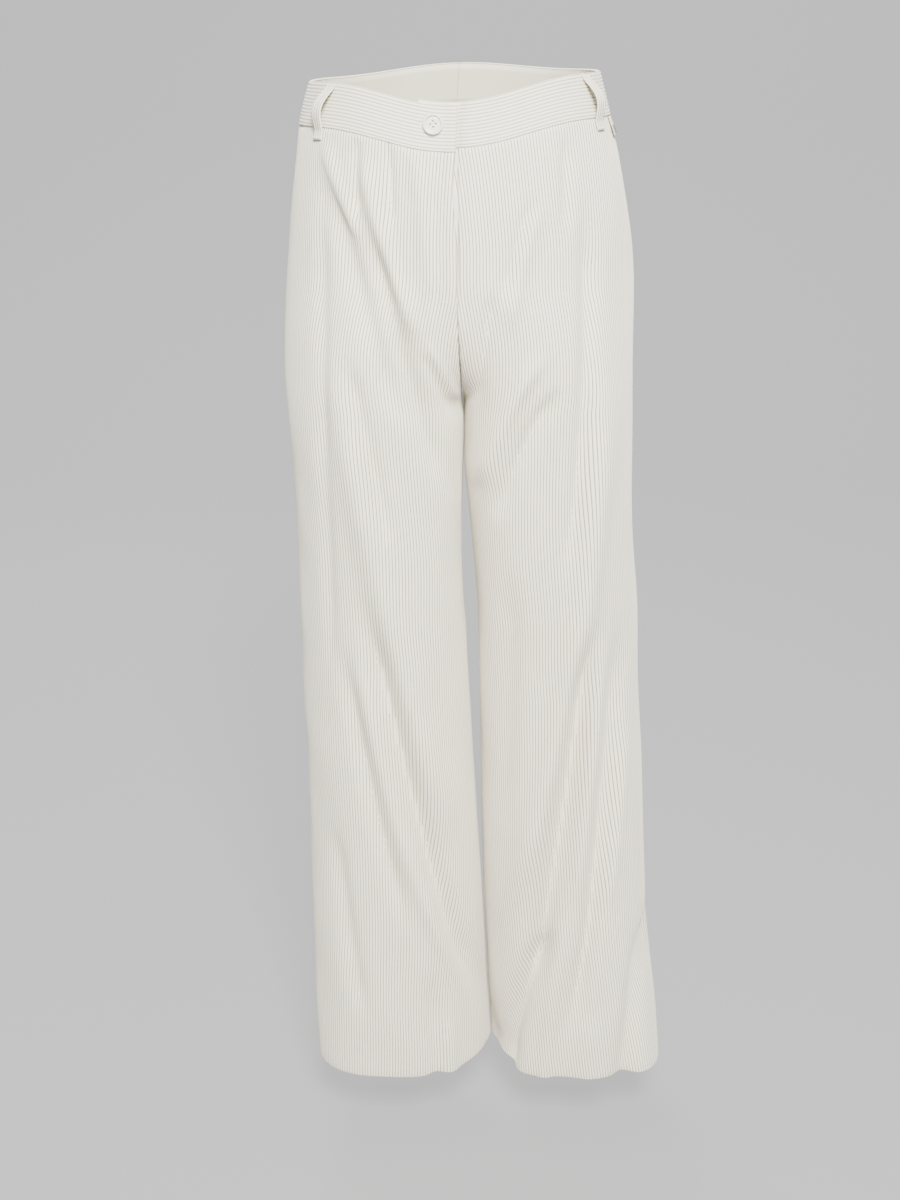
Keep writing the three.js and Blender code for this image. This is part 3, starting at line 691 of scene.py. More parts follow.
def waistband(name, material):
    """One half of the band: a strip folded at its top edge, its wales running round the waist."""
    half = HALVES[name]
    laps = name == "left"
    underlap = BAND_UNDERLAP if laps else 0.0
    length = float(half.along(half.length, np.array(-BAND_HEIGHT)))
    start, end = -length - underlap, length
    inner_steps = np.arange(BAND_STEP, end - start - BAND_STEP / 2, BAND_STEP)
    near = np.array(BAND_END_STEPS)
    place = start + np.unique(np.concatenate([near, inner_steps, end - start - near]))
    profile = band_profile()
    depth, out = profile[:, :1], profile[:, 1:]
    top = top_height(name, place)
    z = top[None] - depth + 0.0 * place[None]
    share = (place - start) / (end - start)
    edge = half.along(half.length, z)
    u = (-edge - underlap) * (1 - share) + edge * share

    across = np.concatenate([[0], np.cumsum(np.hypot(*np.diff(profile, axis=0).T))])
    top_at = across[np.argmin(profile[:, 0])]
    across = (across - top_at)[:, None]
    outside = (profile[:, 1] > -0.3)[:, None] | (profile[:, :1] < BAND_ROUND)
    rise = np.where(outside, relief(across + WALE / 2), 0.0)
    to_start, to_end = (place - start)[None], (end - place)[None]
    front_end = to_start if name == "right" else to_start + 99
    squeeze = np.sqrt(np.clip(1 - np.maximum(1 - front_end / BAND_ROUND, 0) ** 2, 0.02, 1))
    across_face = (out + BAND_ROUND) * squeeze - BAND_ROUND
    dip = SEAM_DIP * bump(to_end, 0, SEAM_DIP_WIDTH) * (across_face > -BAND_ROUND)
    dip = dip + pucker(name, z, u) * (across_face > -BAND_ROUND)
    if laps:
        dip = dip + BAND_UNDER * under_dip(edge + u) * (u < 0)
    else:
        dip = dip - LAP_PUFF * bump(-u, edge - LAP_PUFF_PLACE, LAP_PUFF_WIDTH) * (u < 0)
    stand = across_face + rise * squeeze - dip
    points = half.off(z, u, stand, band_step if laps else (lambda height, way: BAND_PROUD))

    rows, columns = z.shape
    ids = np.arange(rows * columns).reshape(rows, columns)
    ring = np.vstack([ids, ids[:1]])
    faces = grid_faces(ring) + [ids[None, ::-1, 0], ids[None, :, -1]]
    # The wale height sets the painted valley shade; the band's flat inside takes a tone partway to that painted shade
    wale = np.where(outside, wale_profile(across + WALE / 2), 0.5)
    # Painted shade: the buttonhole's cut takes the full painted valley shade, darker than the band round it
    wale = np.broadcast_to(wale, z.shape) * (1 - slit(name, z, u))
    return make_mesh(
        f"waistband_{name}_half",
        points.reshape(-1, 3),
        faces,
        material,
        across=np.broadcast_to(across, z.shape).ravel(),
        along=np.broadcast_to(place, z.shape).ravel(),
        wale=wale.ravel(),
        backing=np.zeros(z.size),
    )


# The button's place and size on the right band, and the pull of the closure round it
BUTTON_Z = -37.6
BUTTON_WAY = -181
BUTTON_DIAMETER = 18.5
BUTTON_SIDES = 96
BUTTON_HOLE = 2.0
BUTTON_HOLE_CIRCLE = 5.0
BUTTON_HOLE_LEAN = 0.12
BUTTONHOLE_END = 10.2
PUCKER = 0.7
SLIT_DEPTH = 1.6

# The zip behind the fly: its face lies this far under the left front's face
ZIP_TAPE = 26
ZIP_THICKNESS = 0.9
ZIP_CHAIN = 5.6
ZIP_PITCH = 2.6
ZIP_INSET = 15.6
ZIP_TOP = -67
ZIP_BOTTOM = -187
ZIP_SLIDER = 11
ZIP_FACE = -2 * (CLOTH + LAP_CLEARANCE) - BAND_EXTRA

# The tab in the left waist seam
TAB_WAY = -28
TAB_WIDTH = 9
TAB_LENGTH = 17
TAB_CLOTH = 1.4
TAB_DROP = 0.6
TAB_RISE = 1.5


def slit(name, z, u):
    """1 in the cut of the buttonhole beside the button, and 0 elsewhere: the cut is sunk and painted with shade."""
    if name != "right":
        return 0.0
    return bump(u, BUTTON_WAY + BUTTONHOLE_END - 0.6, 1.1) * bump(z, BUTTON_Z, 0.75)


def pucker(name, z, u):
    """How far the band is drawn in round the buttonhole."""
    if name != "right":
        return 0.0
    dent = bump(u, BUTTON_WAY + BUTTONHOLE_END, 5) * bump(z, BUTTON_Z, 4)
    pull = 0.35 * np.sin((u - BUTTON_WAY) / 3.2) * bump(u, BUTTON_WAY + 16, 10) * bump(z, BUTTON_Z, 9)
    return PUCKER * (dent + pull) + SLIT_DEPTH * slit(name, z, u)


def strip_section(width, cloth, count):
    """Points round a flat strip with round edges: how far across it and how far up."""
    r = cloth / 2
    flat = np.linspace(width / 2 - r, -width / 2 + r, count)
    over = [(x, cloth) for x in flat]
    left = [(-width / 2 + r - r * math.sin(a), r + r * math.cos(a)) for a in np.linspace(0, math.pi, 8)[1:-1]]
    under = [(x, 0.0) for x in flat[::-1][:: max(count // 5, 1)]]
    right = [(width / 2 - r + r * math.sin(a), r - r * math.cos(a)) for a in np.linspace(0, math.pi, 8)[1:-1]]
    return np.array(over + left + under + right)


def closed_strip(name, half, section, z, u_middle, out_under, rise, material):
    """A strip laid along the cloth: one ring of its section at each height."""
    x, up = section[:, 0][None], section[:, 1][None]
    lift = np.where(up > 0.55 * section[:, 1].max(), rise, 0)
    height = np.broadcast_to(z[:, None], (len(z), len(section)))
    u = u_middle[:, None] + x
    points = half.off(height, u, out_under[:, None] + up + lift)
    rows, columns = height.shape
    ids = np.arange(rows * columns).reshape(rows, columns)
    ring = np.hstack([ids, ids[:, :1]])
    faces = grid_faces(ring) + [ids[None, 0], ids[None, -1, ::-1]]
    # The wale height sets the painted valley shade; the strip's flat underside takes a tone partway to that painted
    # shade
    wale = np.where(up > 0.3 * section[:, 1].max(), wale_profile(x + WALE / 2), 0.4)
    return make_mesh(
        name,
        points.reshape(-1, 3),
        faces,
        material,
        across=np.broadcast_to(x, height.shape).ravel(),
        along=height.ravel(),
        wale=np.broadcast_to(wale, height.shape).ravel(),
        backing=np.zeros(height.size),
    )


def belt_loop(name, material):
    """A belt loop: a strip with three wales, sewn down at both ends and bowed out between them."""
    half_name, u_top, u_bottom = LOOPS[name]
    half = HALVES[half_name]
    top = float(top_height(half_name, u_top))
    seam = top - BAND_HEIGHT
    length = top - LOOP_START - (seam - LOOP_REACH)
    t = np.linspace(0, 1, 49)
    z = top - LOOP_START - t * length
    bow = np.clip((t - LOOP_FOOT_TOP) / (LOOP_FOOT_BOTTOM - LOOP_FOOT_TOP), 0, 1)
    on_band = BAND_PROUD * ramp(z, seam - LOOP_STEP_DOWN, seam - 1)
    out = LOOP_CLEARANCE + on_band + LOOP_RISE * np.sin(np.pi * bow) ** LOOP_ROUNDNESS
    section = strip_section(LOOP_WIDTH, LOOP_CLOTH, 25)
    ends = np.minimum(np.minimum(t, 1 - t) * length / 1.2, 1)[:, None]
    rise = relief(section[:, 0] + WALE / 2)[None] * ends - 0.5 * (1 - ends)
    way = u_top + (u_bottom - u_top) * t
    return closed_strip(f"{name}_strip", half, section, z, way, out, rise, material)


# Threads


def tube(path, radius, sides=6):
    """The points of a round thread along a path, drawn in at its ends, and its faces."""
    path = np.asarray(path, float)
    tangent = np.gradient(path, axis=0)
    tangent /= np.maximum(np.linalg.norm(tangent, axis=1), 1e-9)[:, None]
    level = np.cross(tangent, np.array([0.31, 0.22, 0.93]))
    level /= np.maximum(np.linalg.norm(level, axis=1), 1e-9)[:, None]
    up = np.cross(level, tangent)
    angle = np.linspace(0, 2 * np.pi, sides + 1)[:-1]
    ring = level[:, None] * np.cos(angle)[None, :, None] + up[:, None] * np.sin(angle)[None, :, None]
    drawn = np.ones(len(path))
    drawn[[0, -1]] = 0.35
    points = path[:, None] + ring * (radius * drawn)[:, None, None]
    ids = np.arange(points.shape[0] * sides).reshape(-1, sides)
    around = np.hstack([ids, ids[:, :1]])
    return points.reshape(-1, 3), grid_faces(around) + [ids[None, 0], ids[None, -1, ::-1]]


def joined_tubes(name, paths, radius, material, sides=6):
    """Many short threads as one piece."""
    points, faces, start = [], [], 0
    for path in paths:
        more, rings = tube(path, radius, sides)
        points.append(more)
        faces += [f + start for f in rings if len(f)]
        start += len(more)
    return make_mesh(name, np.concatenate(points), faces, material)


def tack(half, z, u, width, height, out, rows=9):
    """The zigzag threads of a bar tack, `width` along the way round and `height` tall."""
    paths = []
    for k in range(rows):
        a = u - width / 2 + width * k / rows
        b = a + width / rows
        ways = np.array([a, (a + b) / 2, b])
        heights = np.array([z - height / 2, z, z + height / 2])[:: 1 if k % 2 else -1]
        paths.append(half.off(heights, ways, np.array([out, out + 0.25, out])))
    return paths


def loop_tacks(material):
    """Bar tacks over both ends of each belt loop."""
    paths = []
    for half_name, u_top, u_bottom in LOOPS.values():
        half = HALVES[half_name]
        top = float(top_height(half_name, u_top))
        on_band = LOOP_CLEARANCE + BAND_PROUD + LOOP_CLOTH
        on_panel = LOOP_CLEARANCE + LOOP_CLOTH
        foot = top - BAND_HEIGHT - LOOP_REACH
        paths += tack(half, top - LOOP_START - 1.6, u_top, LOOP_WIDTH - 2.4, 1.3, on_band)
        paths += tack(half, foot + 2.0, u_bottom, LOOP_WIDTH - 2.4, 1.3, on_panel)
    return joined_tubes("belt_loop_tacks", paths, 0.28, material)


def fly_tack(material):
    """The short bar tack that closes the foot of the fly."""
    half = HALVES["right"]
    edge = float(half.along(half.length, np.array(FLY_BOTTOM)))
    paths = tack(half, FLY_BOTTOM + 1.0, 9 - edge, 15, 1.2, 0.35, 17)
    return joined_tubes("fly_tack", paths, 0.26, material)


BUTTONHOLE_PITCH = 0.62
BUTTONHOLE_EDGE = 0.45
BUTTONHOLE_STITCH = 1.7


def buttonhole(material):
    """The stitched edge of the buttonhole: bars along both sides of the slit and a fan round its end."""
    half = HALVES["right"]
    spokes = []
    end = BUTTON_WAY + BUTTONHOLE_END
    for way in np.arange(BUTTON_WAY - 4, end, BUTTONHOLE_PITCH):
        spokes += [(way, 0, angle) for angle in (math.pi / 2, -math.pi / 2)]
    spokes += [(end, 0, angle) for angle in np.linspace(-math.pi / 2, math.pi / 2, 9)[1:-1]]
    paths = []
    for way, height, angle in spokes:
        reach = BUTTONHOLE_EDGE + BUTTONHOLE_STITCH * np.array([0, 0.5, 1])
        u = way + reach * math.cos(angle)
        z = BUTTON_Z + height + reach * math.sin(angle)
        paths.append(half.off(z, u, BAND_PROUD + np.array([0.0, 0.32, 0.05]) - pucker("right", z, u)))
    return joined_tubes("buttonhole_stitches", paths, 0.26, material)


# The button


def button_profile():
    """The button's turned outline, from the middle of its back round its rim to the middle of its face."""
    r = BUTTON_DIAMETER / 2
    back = [(0, 0), (r - 2.4, 0), (r - 1.2, 0.15), (r - 0.45, 0.7)]
    rim = [(r, 1.7), (r - 0.1, 2.6), (r - 0.45, 3.25), (r - 1.0, 3.6), (r - 1.6, 3.5)]
    dish = [(r - 2.1, 3.0), (r - 2.5, 2.2), (r - 3.1, 1.75), (r - 4.4, 1.9), (0, 1.75)]
    return np.array([*back, *rim, *dish], float)


def smooth_outline(outline, steps=4):
    """More points along an outline, on a curve through the given ones."""
    last = len(outline) - 1
    before = outline[np.maximum(np.arange(last + 1) - 1, 0)]
    after = outline[np.minimum(np.arange(last + 1) + 1, last)]
    slope = (after - before) / 2
    points = []
    for i in range(last):
        for t in np.arange(steps) / steps:
            a, b = outline[i], outline[i + 1]
            curve = (1 + 2 * t) * (1 - t) ** 2 * a + t * (1 - t) ** 2 * slope[i]
            points.append(curve + t * t * (3 - 2 * t) * b + t * t * (t - 1) * slope[i + 1])
    return np.maximum(np.array([*points, outline[-1]]), 0)


def button(material):
    """The cream button with a raised rim and four holes, standing square on the right band."""
    profile = smooth_outline(button_profile())
    turn = np.linspace(0, 2 * np.pi, BUTTON_SIDES + 1)[:-1]
    radius, height = profile[:, :1], profile[:, 1:]
    points = np.stack([radius * np.cos(turn), radius * np.sin(turn), height + 0 * turn], -1)
    ids = np.arange(points.shape[0] * BUTTON_SIDES).reshape(-1, BUTTON_SIDES)
    ids[0], ids[-1] = ids[0, 0], ids[-1, 0]
    piece = make_mesh(
        "waist_button", points.reshape(-1, 3), grid_faces(np.hstack([ids, ids[:, :1]])), material
    )
    drill(piece)
    seat, out = button_place()
    turned = out.to_track_quat("Z", "Y").to_matrix().to_4x4()
    piece.data.transform(Matrix.Translation(seat * MM) @ turned)
    return piece


def drill(piece):
    """Cuts the four holes, on a square that leans a little."""
    paths = []
    for k in range(4):
        angle = math.pi / 2 * k + BUTTON_HOLE_LEAN
        x, y = BUTTON_HOLE_CIRCLE / 2 * math.cos(angle), BUTTON_HOLE_CIRCLE / 2 * math.sin(angle)
        paths.append([(x, y, height) for height in (-2, -1, 6, 7)])
    cutter = joined_tubes("button_drill", paths, BUTTON_HOLE / 2, piece.active_material, 24)
    cut = piece.modifiers.new("holes", "BOOLEAN")
    cut.object = cutter
    cut.solver = "EXACT"
    bpy.context.view_layer.update()
    drilled = bpy.data.meshes.new_from_object(piece.evaluated_get(bpy.context.evaluated_depsgraph_get()))
    piece.modifiers.clear()
    piece.data = drilled
    drilled.name = piece.name
    drilled.set_sharp_from_angle(angle=math.radians(40))
    bpy.data.objects.remove(cutter)


def button_place():
    """Where the middle of the button's back sits, and the direction that the button faces."""
    z, u = np.array(BUTTON_Z, float), np.array(BUTTON_WAY, float)
    half = HALVES["right"]
    stand = BAND_PROUD + LAP_CLEARANCE
    seat = half.off(z, u, np.array(stand))
    out = half.off(z, u, np.array(stand + 1.0)) - seat
    return Vector(seat), Vector(out).normalized()


# The zip behind the fly, and the tab in the left waist seam


def zip_way(z, across=0.0):
    """The way round to a place on the zip."""
    left = HALVES["left"]
    return -(left.along(left.length, z) + ZIP_INSET + across)


def zip_tapes(material):
    """The zip's two tapes, which meet in the middle."""
    z = np.arange(ZIP_TOP - ZIP_SLIDER, ZIP_BOTTOM, -1.5)
    out = np.full(len(z), ZIP_FACE - ZIP_THICKNESS)
    section = strip_section(ZIP_TAPE, ZIP_THICKNESS, 27)
    return closed_strip("zip_tapes", HALVES["left"], section, z, zip_way(z), out, 0.0, material)


def zip_teeth(material):
    """The closed chain of teeth, from the left and the right by turns."""
    left = HALVES["left"]
    reach = np.array([-0.5, -0.2, 0.15, 0.3]) * ZIP_CHAIN
    paths = []
    for k, height in enumerate(np.arange(ZIP_TOP - ZIP_SLIDER - 1, ZIP_BOTTOM + 1, -ZIP_PITCH / 2)):
        z = np.full(len(reach), height)
        way = zip_way(z, reach if k % 2 else -reach)
        paths.append(left.off(z, way, ZIP_FACE + np.array([0.2, 0.95, 1.05, 0.9])))
    return joined_tubes("zip_teeth", paths, 0.42, material)


def side_tab(material):
    """The small cloth tab that hangs out of the left waist seam."""
    down = np.linspace(0, TAB_LENGTH, 25)
    z = float(seam_height("left", TAB_WAY)) - TAB_DROP - down
    out = LAP_CLEARANCE + TAB_RISE * ramp(down, 0, TAB_LENGTH)
    section = strip_section(TAB_WIDTH, TAB_CLOTH, 21)
    rise = 0.5 * relief(section[:, 0] + WALE / 2)[None]
    way = np.full(len(z), float(TAB_WAY))
    return closed_strip("side_tab_strip", HALVES["left"], section, z, way, out, rise, material)


# Finishes


def new_node(tree, kind, settings=(), **inputs):
    """A node with its settings, and each input set to a value or joined to another node's output."""
    node = tree.nodes.new(kind)
    for label, value in dict(settings).items():
        setattr(node, label, value)
    for label, value in inputs.items():
        socket = node.inputs[label.replace("_", " ")]
        if isinstance(value, bpy.types.NodeSocket):
            tree.links.new(value, socket)
        else:
            socket.default_value = value
    return node


def sum_up(tree, operation, a, b=None, c=None):
    """The output of a math node on numbers or outputs."""
    node = tree.nodes.new("ShaderNodeMath")
    node.operation = operation
    for socket, value in zip(node.inputs, (a, b, c)):
        if isinstance(value, bpy.types.NodeSocket):
            tree.links.new(value, socket)
        elif value is not None:
            socket.default_value = value
    return node.outputs[0]


def blend_colours(tree, factor, a, b, mode="MIX"):
    """The output of a colour mix."""
    node = tree.nodes.new("ShaderNodeMix")
    node.data_type = "RGBA"
    node.blend_type = mode
    for socket, value in ((node.inputs[0], factor), (node.inputs[6], a), (node.inputs[7], b)):
        if isinstance(value, bpy.types.NodeSocket):
            tree.links.new(value, socket)
        else:
            socket.default_value = value
    return node.outputs[2]


def effect_group(name, inputs, outputs):
    """An empty node group with its named inputs, each with a usual value, and its named outputs."""
    group = bpy.data.node_groups.new(name, "ShaderNodeTree")
    for label, kind, value in inputs:
        socket = group.interface.new_socket(label, in_out="INPUT", socket_type=f"NodeSocket{kind}")
        if value is not None:
            socket.default_value = value
    for label, kind in outputs:
        group.interface.new_socket(label, in_out="OUTPUT", socket_type=f"NodeSocket{kind}")
    return group, group.nodes.new("NodeGroupInput"), group.nodes.new("NodeGroupOutput")


def fibre_group():
    """Fine fibres and slow patches: a tone that multiplies a colour, and a height for a bump."""
    group, given, made = effect_group(
        "fibres",
        [
            ("Vector", "Vector", None),
            ("Fibre Scale", "Float", 220.0),
            ("Patch Scale", "Float", 3.0),
            ("Fibre Amount", "Float", 0.1),
            ("Patch Amount", "Float", 0.05),
        ],
        [("Tone", "Float"), ("Height", "Float")],
    )
    give = given.outputs
    fine = new_node(
        group, "ShaderNodeTexNoise", Vector=give["Vector"], Scale=give["Fibre Scale"], Detail=3.0, Roughness=0.6
    )
    slow = new_node(
        group, "ShaderNodeTexNoise", Vector=give["Vector"], Scale=give["Patch Scale"], Detail=2.0, Roughness=0.5
    )
    fibre = sum_up(group, "MULTIPLY", sum_up(group, "SUBTRACT", fine.outputs[0], 0.5), give["Fibre Amount"])
    patch = sum_up(group, "MULTIPLY", sum_up(group, "SUBTRACT", slow.outputs[0], 0.5), give["Patch Amount"])
    tone = sum_up(group, "ADD", 1.0, sum_up(group, "ADD", fibre, patch))
    group.links.new(tone, made.inputs["Tone"])
    group.links.new(fine.outputs[0], made.inputs["Height"])
    return group


def handling_group():
    """The slight cloudiness and fine marks of a hard surface: a tone, a roughness and a height."""
    group, given, made = effect_group(
        "handling",
        [
            ("Vector", "Vector", None),
            ("Mark Scale", "Float", 900.0),
            ("Roughness", "Float", 0.3),
            ("Amount", "Float", 0.1),
        ],
        [("Tone", "Float"), ("Roughness", "Float"), ("Height", "Float")],
    )
    give = given.outputs
    marks = new_node(
        group, "ShaderNodeTexNoise", Vector=give["Vector"], Scale=give["Mark Scale"], Detail=4.0, Roughness=0.65
    )
    spread = sum_up(group, "MULTIPLY", sum_up(group, "SUBTRACT", marks.outputs[0], 0.5), give["Amount"])
    group.links.new(sum_up(group, "ADD", 1.0, spread), made.inputs["Tone"])
    group.links.new(sum_up(group, "ADD", give["Roughness"], spread), made.inputs["Roughness"])
    group.links.new(marks.outputs[0], made.inputs["Height"])
    return group


def new_material(name):
    """A material with only its Principled shader and its output."""
    material = bpy.data.materials.new(name)
    material.use_nodes = True
    tree = material.node_tree
    tree.nodes.clear()
    shader = tree.nodes.new("ShaderNodeBsdfPrincipled")
    end = tree.nodes.new("ShaderNodeOutputMaterial")
    tree.links.new(shader.outputs[0], end.inputs[0])
    return material, tree, shader


def set_shader(shader, **values):
    """Sets the shader's own sockets."""
    for label, value in values.items():
        shader.inputs[label.replace("_", " ")].default_value = value


def use_group(tree, group, **inputs):
    """The node group placed in a material."""
    return new_node(tree, "ShaderNodeGroup", {"node_tree": group}, **inputs).outputs


def add_bump(tree, shader, height, strength, distance):
    """A bump on the shader from a height that changes over the surface."""
    bumped = new_node(tree, "ShaderNodeBump", Strength=strength, Distance=distance, Height=height)
    tree.links.new(bumped.outputs[0], shader.inputs["Normal"])


def corduroy(fibres):
    """Cut pile in ridges over a flat backing, which shows inside; the valleys between the ridges are painted darker as
    shade.
    """
    material, tree, shader = new_material("corduroy")
    where = new_node(tree, "ShaderNodeUVMap", {"uv_map": "cloth"})
    drawn = new_node(tree, "ShaderNodeMapping", Vector=where.outputs[0], Scale=(1.0, 0.42, 1.0))
    pile = use_group(
        tree, fibres, Vector=drawn.outputs[0], Fibre_Scale=230.0, Fibre_Amount=0.17, Patch_Scale=2.6, Patch_Amount=0.045
    )
    ridge = new_node(tree, "ShaderNodeAttribute", {"attribute_name": "wale"})
    inside = new_node(tree, "ShaderNodeAttribute", {"attribute_name": "backing"})
    # Painted shade: the wale height darkens the cloth's colour towards the valleys between the ridges, where real shade
    # falls
    valley_shade_mask = new_node(
        tree, "ShaderNodeMapRange", {"interpolation_type": "SMOOTHSTEP"}, Value=ridge.outputs["Fac"],
        From_Min=0.0, From_Max=0.85,
    )
    face = blend_colours(tree, valley_shade_mask.outputs[0], VALLEY_PAINTED_SHADE, RIDGE_COLOUR)
    cloth = blend_colours(tree, inside.outputs["Fac"], face, BACKING_COLOUR)
    toned = blend_colours(tree, 1.0, cloth, pile["Tone"], "MULTIPLY")
    tree.links.new(toned, shader.inputs["Base Color"])
    add_bump(tree, shader, pile["Height"], 0.6, 0.0005)
    set_shader(shader, Roughness=0.95, Specular_IOR_Level=0.15, Sheen_Weight=0.3, Sheen_Roughness=0.5)
    set_shader(shader, Sheen_Tint=(1.0, 0.98, 0.95, 1.0))
    return material


def sewing_thread(fibres):
    """Cream polyester thread."""
    material, tree, shader = new_material("sewing_thread")
    where = new_node(tree, "ShaderNodeTexCoord")
    twist = use_group(
        tree, fibres, Vector=where.outputs["Object"], Fibre_Scale=4200.0, Fibre_Amount=0.16, Patch_Scale=90.0,
        Patch_Amount=0.05,
    )
    toned = blend_colours(tree, 1.0, THREAD_COLOUR, twist["Tone"], "MULTIPLY")
    tree.links.new(toned, shader.inputs["Base Color"])
    add_bump(tree, shader, twist["Height"], 0.4, 0.0001)
    set_shader(shader, Roughness=0.6, Specular_IOR_Level=0.35, Sheen_Weight=0.15, Sheen_Roughness=0.4)
    return material


def woven_tape(fibres):
    """The zip's tape: a close weave that shows as fine crossing ribs."""
    material, tree, shader = new_material("woven_tape")
    where = new_node(tree, "ShaderNodeUVMap", {"uv_map": "cloth"})
    weave = use_group(
        tree, fibres, Vector=where.outputs[0], Fibre_Scale=260.0, Fibre_Amount=0.1, Patch_Scale=5.0, Patch_Amount=0.04
    )
    ribs = [
        new_node(
            tree, "ShaderNodeTexWave", {"bands_direction": direction}, Vector=where.outputs[0], Scale=scale
        ).outputs["Fac"]
        for direction, scale in (("X", 32.0), ("Y", 40.0))
    ]
    crossed = sum_up(tree, "ADD", sum_up(tree, "MULTIPLY", ribs[0], ribs[1]), weave["Height"])
    toned = blend_colours(tree, 1.0, TAPE_COLOUR, weave["Tone"], "MULTIPLY")
    tree.links.new(toned, shader.inputs["Base Color"])
    add_bump(tree, shader, crossed, 0.5, 0.0003)
    set_shader(shader, Roughness=0.8, Specular_IOR_Level=0.25)
    return material


def button_gloss(handling):
    """Glossy cream polyester, a little cloudy."""
    material, tree, shader = new_material("button_gloss")
    where = new_node(tree, "ShaderNodeTexCoord")
    marks = use_group(
        tree, handling, Vector=where.outputs["Object"], Mark_Scale=260.0, Roughness=0.24, Amount=0.07
    )
    toned = blend_colours(tree, 1.0, BUTTON_COLOUR, marks["Tone"], "MULTIPLY")
    tree.links.new(toned, shader.inputs["Base Color"])
    tree.links.new(marks["Roughness"], shader.inputs["Roughness"])
    add_bump(tree, shader, marks["Height"], 0.08, 0.0002)
    set_shader(shader, IOR=1.53, Coat_Weight=0.35, Coat_Roughness=0.08)
    return material


def satin_nickel(handling):
    """Nickel with a fine satin brushing."""
    material, tree, shader = new_material("satin_nickel")
    where = new_node(tree, "ShaderNodeTexCoord")
    drawn = new_node(tree, "ShaderNodeMapping", Vector=where.outputs["Object"], Scale=(1.0, 1.0, 0.12))
    marks = use_group(tree, handling, Vector=drawn.outputs[0], Mark_Scale=2600.0, Roughness=0.34, Amount=0.16)
    toned = blend_colours(tree, 1.0, NICKEL_COLOUR, marks["Tone"], "MULTIPLY")
    tree.links.new(toned, shader.inputs["Base Color"])
    tree.links.new(marks["Roughness"], shader.inputs["Roughness"])
    add_bump(tree, shader, marks["Height"], 0.15, 0.0001)
    set_shader(shader, Metallic=1.0)
    return material


def studio_paper(fibres):
    """The pale paper of the floor and the backdrop."""
    material, tree, shader = new_material("studio_paper")
    where = new_node(tree, "ShaderNodeTexCoord")
    grain = use_group(
        tree, fibres, Vector=where.outputs["Object"], Fibre_Scale=60.0, Fibre_Amount=0.01, Patch_Scale=0.6,
        Patch_Amount=0.02,
    )
    toned = blend_colours(tree, 1.0, PAPER_COLOUR, grain["Tone"], "MULTIPLY")
    tree.links.new(toned, shader.inputs["Base Color"])
    set_shader(shader, Roughness=0.9, Specular_IOR_Level=0.1, Emission_Strength=PAPER_GLOW)
    set_shader(shader, Emission_Color=(1.0, 1.0, 1.0, 1.0))
    return material


# The studio


def studio(material):
    """A pale floor that curves up into its backdrop."""
    curve = np.linspace(0, np.pi / 2, 17)
    bend = [(PAPER_BACK + PAPER_BEND * math.sin(a), FLOOR + PAPER_BEND * (1 - math.cos(a))) for a in curve]
    line = np.array([(-PAPER_FRONT, FLOOR), *bend, (bend[-1][0], PAPER_TOP)])
    points = np.array([[(x, y, z) for x in (-PAPER_HALF, PAPER_HALF)] for y, z in line]).reshape(-1, 3)
    ids = np.arange(len(points)).reshape(-1, 2)
    paper = make_mesh("studio_paper", points, grid_faces(ids), material)


def soft_light(name, place, target, size, power):
    """A large soft lamp that faces a point."""
    lamp = bpy.data.lights.new(name, "AREA")
    lamp.shape = "RECTANGLE"
    lamp.size, lamp.size_y = size
    lamp.energy = power
    holder = bpy.data.objects.new(name, lamp)
    holder.location = place
    holder.rotation_euler = (Vector(target) - Vector(place)).to_track_quat("-Z", "Y").to_euler()
    bpy.context.scene.collection.objects.link(holder)


def light_studio():
    """Even light all round, with soft lamps in front, behind, at one side and above."""
    world = bpy.data.worlds.new("studio_air")
    world.use_nodes = True
    air = world.node_tree.nodes["Background"]
    air.inputs["Color"].default_value = (1.0, 1.0, 1.0, 1.0)
    air.inputs["Strength"].default_value = AIR_STRENGTH
    bpy.context.scene.world = world
    for name, place, target, size, power in LAMPS:
        soft_light(name, place, target, size, power)


def camera():
    """The camera, at the photograph's angle."""
    view = bpy.data.cameras.new("camera")
    view.lens, view.sensor_width, view.sensor_fit = 50, 36, "AUTO"
    holder = bpy.data.objects.new("camera", view)
    holder.location = (-0.004, -1.63, 0.062)
    holder.rotation_euler = (math.radians(90 - 19.67), 0, 0)
    bpy.context.scene.collection.objects.link(holder)
    bpy.context.scene.camera = holder


# Colours, as linear light
RIDGE_COLOUR = (0.80, 0.745, 0.60, 1.0)
# The valley colour is painted shade, laid into the valleys between the wales
VALLEY_PAINTED_SHADE = (0.20, 0.16, 0.09, 1.0)
BACKING_COLOUR = (0.70, 0.66, 0.56, 1.0)
THREAD_COLOUR = (0.80, 0.77, 0.70, 1.0)
TAPE_COLOUR = (0.74, 0.71, 0.65, 1.0)
BUTTON_COLOUR = (0.74, 0.70, 0.59, 1.0)
NICKEL_COLOUR = (0.62, 0.605, 0.575, 1.0)
PAPER_COLOUR = (0.108, 0.108, 0.108, 1.0)
PAPER_GLOW = 0.62

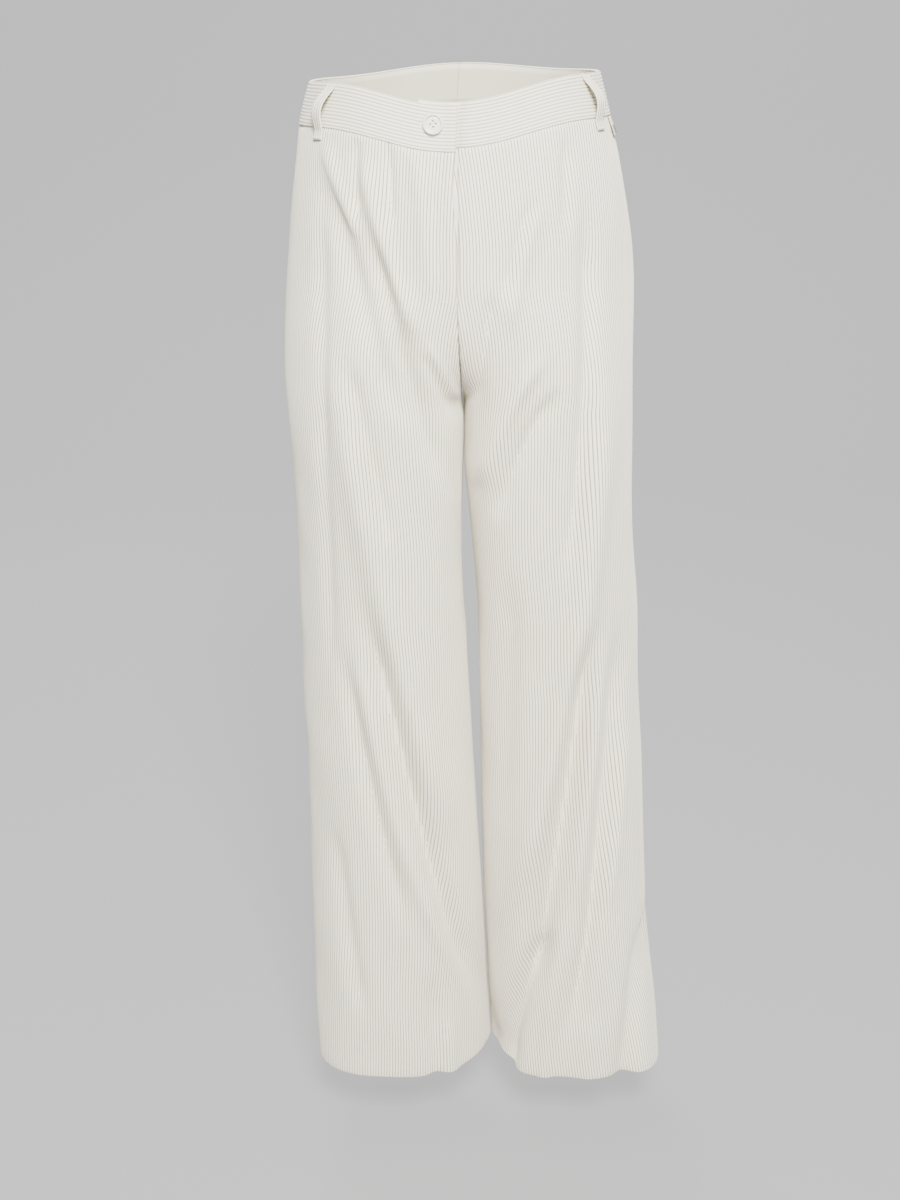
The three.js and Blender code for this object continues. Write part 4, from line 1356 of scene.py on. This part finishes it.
# The studio's sizes, in millimetres, and its light
FLOOR = -1130
PAPER_FRONT = 4000
PAPER_BACK = 2600
PAPER_BEND = 900
PAPER_TOP = 3600
PAPER_HALF = 4500
AIR_STRENGTH = 0.52
LAMPS = [
    ("front_lamp", (0.22, -2.4, 1.5), (0.0, 0.0, -0.25), (0.8, 0.8), 392),
    ("back_lamp", (-0.7, 2.5, 1.5), (0.0, 0.0, -0.4), (1.2, 1.2), 120),
    ("side_lamp", (2.4, -2.0, 0.6), (0.0, 0.0, -0.5), (1.6, 2.4), 16),
    ("top_lamp", (0.0, -0.2, 2.6), (0.0, 0.0, 0.0), (2.4, 2.4), 14),
]


# The whole garment


def make_garment():
    """Every piece of the trousers, riding on the one body."""
    fibres, handling = fibre_group(), handling_group()
    cloth, thread = corduroy(fibres), sewing_thread(fibres)
    nickel, gloss, tape = satin_nickel(handling), button_gloss(handling), woven_tape(fibres)
    bands = {name: waistband(name, cloth) for name in HALVES}
    panels = {(name, face): leg_panel(name, face, cloth) for name in HALVES for face in (-1, 1)}
    loops = {name: belt_loop(name, cloth) for name in LOOPS}
    tacks, closing = loop_tacks(thread), fly_tack(thread)
    eyelet, disc = buttonhole(thread), button(gloss)
    tapes, teeth = zip_tapes(tape), zip_teeth(nickel)
    tab = side_tab(cloth)

    for (name, face), piece in panels.items():
        side = "front" if face < 0 else "back"
        dress(piece, f"{side}_{name}")
    for name, piece in bands.items():
        dress(piece, f"waistband_{name}")
    for name, piece in loops.items():
        dress(piece, name)
    dress(disc, "button")
    dress(tapes, "zip")
    dress(tab, "side_tab")
    for piece, slot in ((tacks, "corduroy"), (closing, "corduroy"), (eyelet, "corduroy"), (teeth, "metal")):
        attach(piece, "root")
    for name in ("zip_slider", "side_tab_plate"):
        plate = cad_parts[name]
        plate.data.materials.clear()
        plate.data.materials.append(nickel)
    studio(studio_paper(fibres))


def dress(piece, node):
    """The piece stands for its solid and rides with it."""
    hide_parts(node)
    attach(piece, "root")


make_garment()
light_studio()
camera()
